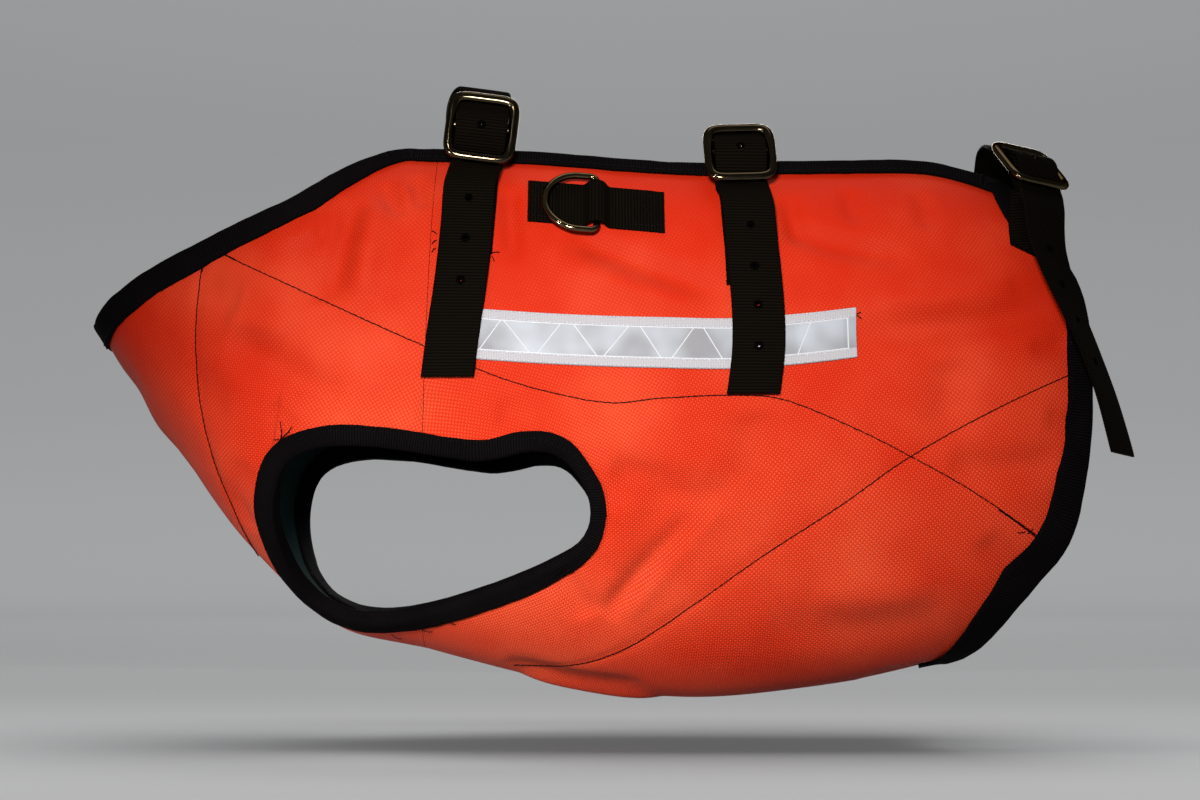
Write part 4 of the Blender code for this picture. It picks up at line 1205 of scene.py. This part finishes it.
nickel = metal_finish("smoky nickel", SMOKY_NICKEL, 0.12)
for place, (centre, width, down) in BUCKLES.items():
    centre = np.array(centre) * MM
    width = np.array(Vector(width).normalized())
    down = np.array(down)
    down = down - width * (down @ width)
    down /= np.linalg.norm(down)
    face = np.cross(down, width)
    face = face if face[1] < 0 else -face
    # The angles start a little past the axes, so that no sine or cosine is nothing.
    turn = np.linspace(0, 2 * math.pi, TURN_POINTS, endpoint=False) + TURN_START
    outline = squared(np.cos(turn)) * width + squared(np.sin(turn)) * down
    closed = np.vstack((outline, outline[:1]))
    outline = resampled(closed, np.linspace(0, 1, BUCKLE_POINTS + 1))[:-1]
    bar = [centre + width * across * MM for across in (-BUCKLE_HALF, BUCKLE_HALF)]
    buckle = wires(f"{place}_buckle", [
        wire(centre + outline * RAIL_MIDDLE * MM, RAIL_HALF * MM, face,
             closed=True, sides=24, flat=BUCKLE_WIRE / RAIL_HALF),
        wire(np.linspace(*bar, 5), BUCKLE_BAR * MM, face, sides=20)], nickel)
    eye = np.cos(turn)[::4, None] * down + np.sin(turn)[::4, None] * face
    stem = np.array([PRONG_RING, PRONG_TIP - 0.7, PRONG_TIP - 0.2, PRONG_TIP]) * MM
    prong = wires(f"{place}_prong_pin", [
        wire(centre + eye * PRONG_RING * MM, PRONG_WIRE * MM, width, closed=True, sides=10),
        wire(centre + stem[:, None] * face, np.array(PRONG_TAPER) * PRONG_WIRE * MM, width,
             sides=10)], nickel)
    for piece, node in ((buckle, f"{place}_buckle_frame"), (prong, f"{place}_prong")):
        lit["metal"].objects.link(piece)
        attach(piece, "vest")
        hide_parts(node)

# ---------------------------------------------------------------- D-ring
# A welded wire D of the same dark nickel. Its straight bar turns in the loop of the ring strip,
# and it lies forward over the strip.
HINGE_AT = (-72.432, -69.825, -46.437)
HINGE_UP = (-0.002275, 0.506521, 0.862224)
HINGE_FORWARD = (-0.99948, -0.02892, 0.01435)
HINGE_FACE = (0.0322, -0.86174, 0.50632)
RING_TILT = 6.0
RING_NICKEL = (0.14, 0.098, 0.05)
RING_WIRE = 1.65
RING_HALF_WIDTH = 16.3
RING_DEPTH = 25.0
RING_CORNER = 3.2
ring_outline = []
for share in np.linspace(-1, 1, 14):
    ring_outline.append((0.0, share * (RING_HALF_WIDTH - RING_CORNER)))
corner = [(RING_CORNER * (1 - math.cos(turn)), RING_HALF_WIDTH - RING_CORNER * (1 - math.sin(turn)))
          for turn in np.radians(np.linspace(0, 90, 10)[1:])]
ring_outline += corner
for turn in np.radians(np.linspace(90, -90, 49)):
    ring_outline.append((RING_DEPTH - RING_HALF_WIDTH + RING_HALF_WIDTH * math.cos(turn),
                         RING_HALF_WIDTH * math.sin(turn)))
ring_outline += [(x, -y) for x, y in reversed(corner)]
tilt = math.radians(RING_TILT)
lying = np.array(HINGE_FORWARD) * math.cos(tilt) + np.array(HINGE_FACE) * math.sin(tilt)
ring_outline = np.array(ring_outline)
hinge_up = np.array(HINGE_UP)
ring_path = np.array(HINGE_AT) + ring_outline[:, :1] * lying + ring_outline[:, 1:] * hinge_up
ring_normal = np.cross(lying, hinge_up)
ring = wires("ring_wire", [wire(ring_path * MM, RING_WIRE * MM, ring_normal, closed=True, sides=20)],
             metal_finish("ring nickel", RING_NICKEL, 0.1))
lit["metal"].objects.link(ring)
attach(ring, "ring")
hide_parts("d_ring")

# ---------------------------------------------------------------- stitching
# Lock stitches of polyester thread: black for the quilting, the edge tapes and the webbing, and
# white along both borders of the strip.
THREAD_BLACK = (0.014, 0.003, 0.003)
TRIM_BLACK = (0.0028, 0.0020, 0.0020)
THREAD_WHITE = (0.84, 0.83, 0.86)
STITCH_RISE = 0.34
STITCH_WANDER = 0.09


def stitch_tree():
    """Short rounded beads of thread along a piece's edges, each a little out of line."""
    tree = bpy.data.node_groups.new("stitches", "GeometryNodeTree")
    inputs = {"Geometry": "Geometry", "Pitch": "Float", "Length": "Float", "Thickness": "Float",
              "Wander": "Float", "Seed": "Int", "Thread": "Material"}
    for name, kind in inputs.items():
        tree.interface.new_socket(name, in_out="INPUT", socket_type=f"NodeSocket{kind}")
    tree.interface.new_socket("Geometry", in_out="OUTPUT", socket_type="NodeSocketGeometry")
    given = tree.nodes.new("NodeGroupInput").outputs

    def node(kind, settings=None, values=None):
        return add_node(tree, kind, settings, values)

    curve = node("GeometryNodeMeshToCurve", None, {"Mesh": given["Geometry"]})
    spaced = node("GeometryNodeResampleCurve", {"mode": "LENGTH"},
                  {"Curve": curve.outputs[0], "Length": given["Pitch"]})
    bead = node("GeometryNodeMeshUVSphere", None, {"Segments": 6, "Rings": 4, "Radius": 0.5})
    wander = node("FunctionNodeRandomValue", {"data_type": "FLOAT_VECTOR"},
                  {"Min": (-1, -1, -1), "Max": (1, 1, 1), "Seed": given["Seed"]})
    swing = node("ShaderNodeVectorMath", {"operation": "SCALE"},
                 {0: wander.outputs[0], "Scale": given["Wander"]})
    way = node("ShaderNodeVectorMath", {"operation": "ADD"},
               {0: node("GeometryNodeInputTangent").outputs[0], 1: swing.outputs[0]})
    # a sphere's poles are on Z, so the bead is stretched along Z
    turn = node("FunctionNodeAlignRotationToVector", {"axis": "Z"}, {"Vector": way.outputs[0]})
    size = node("ShaderNodeCombineXYZ", None,
                {0: given["Thickness"], 1: given["Thickness"], 2: given["Length"]})
    beads = node("GeometryNodeInstanceOnPoints", None, {
        "Points": spaced.outputs[0], "Instance": bead.outputs[0], "Rotation": turn.outputs[0],
        "Scale": size.outputs[0]})
    real = node("GeometryNodeRealizeInstances", None, {"Geometry": beads.outputs[0]})
    thread = node("GeometryNodeSetMaterial", None,
                  {"Geometry": real.outputs[0], "Material": given["Thread"]})
    out = tree.nodes.new("NodeGroupOutput")
    tree.links.new(thread.outputs[0], out.inputs[0])
    return tree


def thread_finish(name, colour):
    thread = Finish(name, colour, 0.6, Specular_IOR_Level=0.06)
    twist = thread.noise(thread.place(), 1200.0)
    thread.shade(Base_Color=thread.mix(twist, tuple(0.6 * c for c in colour), colour))
    return thread.material


STITCHES = stitch_tree()
black_thread = thread_finish("black thread", THREAD_BLACK)
trim_thread = thread_finish("trim thread", TRIM_BLACK)
white_thread = thread_finish("white thread", THREAD_WHITE)


def sew(name, lines, pitch, length, thickness, thread, seed):
    """Stitches along lines of points, fixed to the vest."""
    points, edges = [], []
    for line in lines:
        edges += [(len(points) + k, len(points) + k + 1) for k in range(len(line) - 1)]
        points += [tuple(point) for point in line]
    mesh = bpy.data.meshes.new(name)
    mesh.from_pydata(points, edges, [])
    piece = link(name, mesh)
    row = piece.modifiers.new("stitches", "NODES")
    row.node_group = STITCHES
    values = {"Pitch": pitch * MM, "Length": length * MM, "Thickness": thickness * MM,
              "Wander": STITCH_WANDER, "Seed": seed, "Thread": thread}
    for item in STITCHES.interface.items_tree:
        if item.in_out == "INPUT" and item.name in values:
            row[item.identifier] = values[item.name]
    applied(piece)
    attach(piece, "vest")
    return piece


def raised(found, rise=STITCH_RISE):
    return [hit + out * rise * MM for hit, out in found]


quilted = [raised(on_cloth(outside, view, line)) for view in ("left", "right") for line in QUILTING]
sew("quilting", quilted, pitch=3.1, length=3.9, thickness=0.62, thread=black_thread, seed=3)

# The quilting's ends are sewn over twice.
TACKS = (
    ((-260.5, -68), (-262, -77)),
    ((-257, -67), (-246, -73)),
    ((118, -193.5), (127, -199.5), (134, -204.5)),
)
tacked = [raised(on_cloth(outside, "left", line), rise=0.4) for line in TACKS]
sew("tacks", tacked, pitch=2.6, length=3.4, thickness=0.9, thread=black_thread, seed=11)

# The tapes are caught by one row close to their inner side, on the outside of the vest.
TAPE_ROW_IN = 2.0
taped = []
for node, tape in tapes.items():
    skin = surface_of(tape)
    row = []
    for spot, lip in borders[node] + borders[node][:1]:
        inside = settle(np.array([spot - lip * TAPE_ROW_IN * MM]))[0]
        hit, out, _, _ = skin.find_nearest(Vector(inside))
        row.append(hit + out * STITCH_RISE * MM)
    taped.append(row)
sew("tape_rows", taped, pitch=3.0, length=2.5, thickness=0.5, thread=trim_thread, seed=5)

# Both ends of the ring's strip and the far ends of the long straps are sewn with a box and cross.
BOX_HALF = 9.5
BOX_RISE = 0.85


def box_and_cross(ribbon, near, far):
    """A sewn square with its diagonals, across a strap between two places along it."""
    corners = [(near, -BOX_HALF), (far, -BOX_HALF), (far, BOX_HALF), (near, BOX_HALF),
               (near, -BOX_HALF), (far, BOX_HALF), (far, -BOX_HALF), (near, BOX_HALF)]
    line = []
    for (a, b), (c, d) in zip(corners, corners[1:]):
        share = np.linspace(0, 1, 12)[:-1]
        line.append(ribbon.at((a + (c - a) * share) * MM, (b + (d - b) * share) * MM, BOX_RISE * MM))
    return settle(np.vstack(line))


strapped = []
for node in ("front_long_strap", "middle_long_strap", "rear_long_strap"):
    strapped.append(box_and_cross(ribbons[node], 4, 24))
held = ribbons["ring_webbing"]
for near, far in ((3, 14), (held.length / MM - 14, held.length / MM - 3)):
    strapped.append(box_and_cross(held, near, far))
sew("strap_rows", strapped, pitch=2.8, length=2.3, thickness=0.5, thread=trim_thread, seed=7)

# The strip's two rows on each border.
OUTER_ROW = 11.5
INNER_ROW = FILM_HALF + 0.7
bordered = []
for across in (-OUTER_ROW, -INNER_ROW, INNER_ROW, OUTER_ROW):
    along = np.linspace(1.5 * MM, strip_line.length - 1.5 * MM, 260)
    bordered.append(settle(strip_line.at(along, across * MM, 0.5 * MM)))
sew("strip_rows", bordered, pitch=2.0, length=1.5, thickness=0.72, thread=white_thread, seed=9)

# Loose ends of thread: a knotted tuft at the armhole's upper front corner, frayed ends beside the
# front strap, at the strip's free corner and along the lower side of the armhole.
THREAD_END = 0.2
TUFTS = (
    # start, end and how far the middle of the thread stands off the cloth
    ((-221, -159), (-221.9, -151), 1.2), ((-221, -159), (-216.5, -153.4), 1.6),
    ((-221, -159), (-225, -159.5), 1.2), ((-222, -161), (-221, -155), 1.0),
    ((-220, -158), (-217, -156), 0.8),
    ((-148.5, -62), (-150.8, -60.5), 0.8), ((-148.5, -65), (-150.6, -67), 0.9),
    ((-148.8, -69), (-150.6, -71), 0.8), ((-122, -71.5), (-118.5, -71.2), 0.9),
    ((-122, -73), (-120.9, -75.5), 0.7), ((50.2, -101.2), (52.6, -103), 0.8),
    ((50.5, -100.6), (52.2, -99.8), 0.6), ((-173, -252.5), (-168, -254.5), 0.9),
    ((-158, -249), (-152, -250.5), 1.1), ((-145, -245), (-140, -247), 0.7),
    ((-88, -222.5), (-83, -221.3), 1.0), ((-91, -224.5), (-87, -223.5), 0.8),
    ((131, -204), (133.5, -201.5), 0.9), ((130, -203), (126, -203.4), 0.8),
    ((-258, -66.5), (-255.4, -69.6), 0.7), ((-262, -67.5), (-259.6, -70.4), 0.7),
)
ends = []
for start, end, stand in TUFTS:
    found = on_cloth(outside, "left", [start, end], step=0.5)
    if len(found) < 3:
        continue
    share = np.linspace(0, 1, len(found))
    points = np.array([hit for hit, _ in found])
    out = found[0][1]
    points += np.array(out) * (0.4 + 4 * stand * share * (1.1 - share))[:, None] * MM
    ends.append(wire(points, THREAD_END * MM, out, sides=6))
tufts = wires("loose_threads", ends, black_thread)
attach(tufts, "vest")
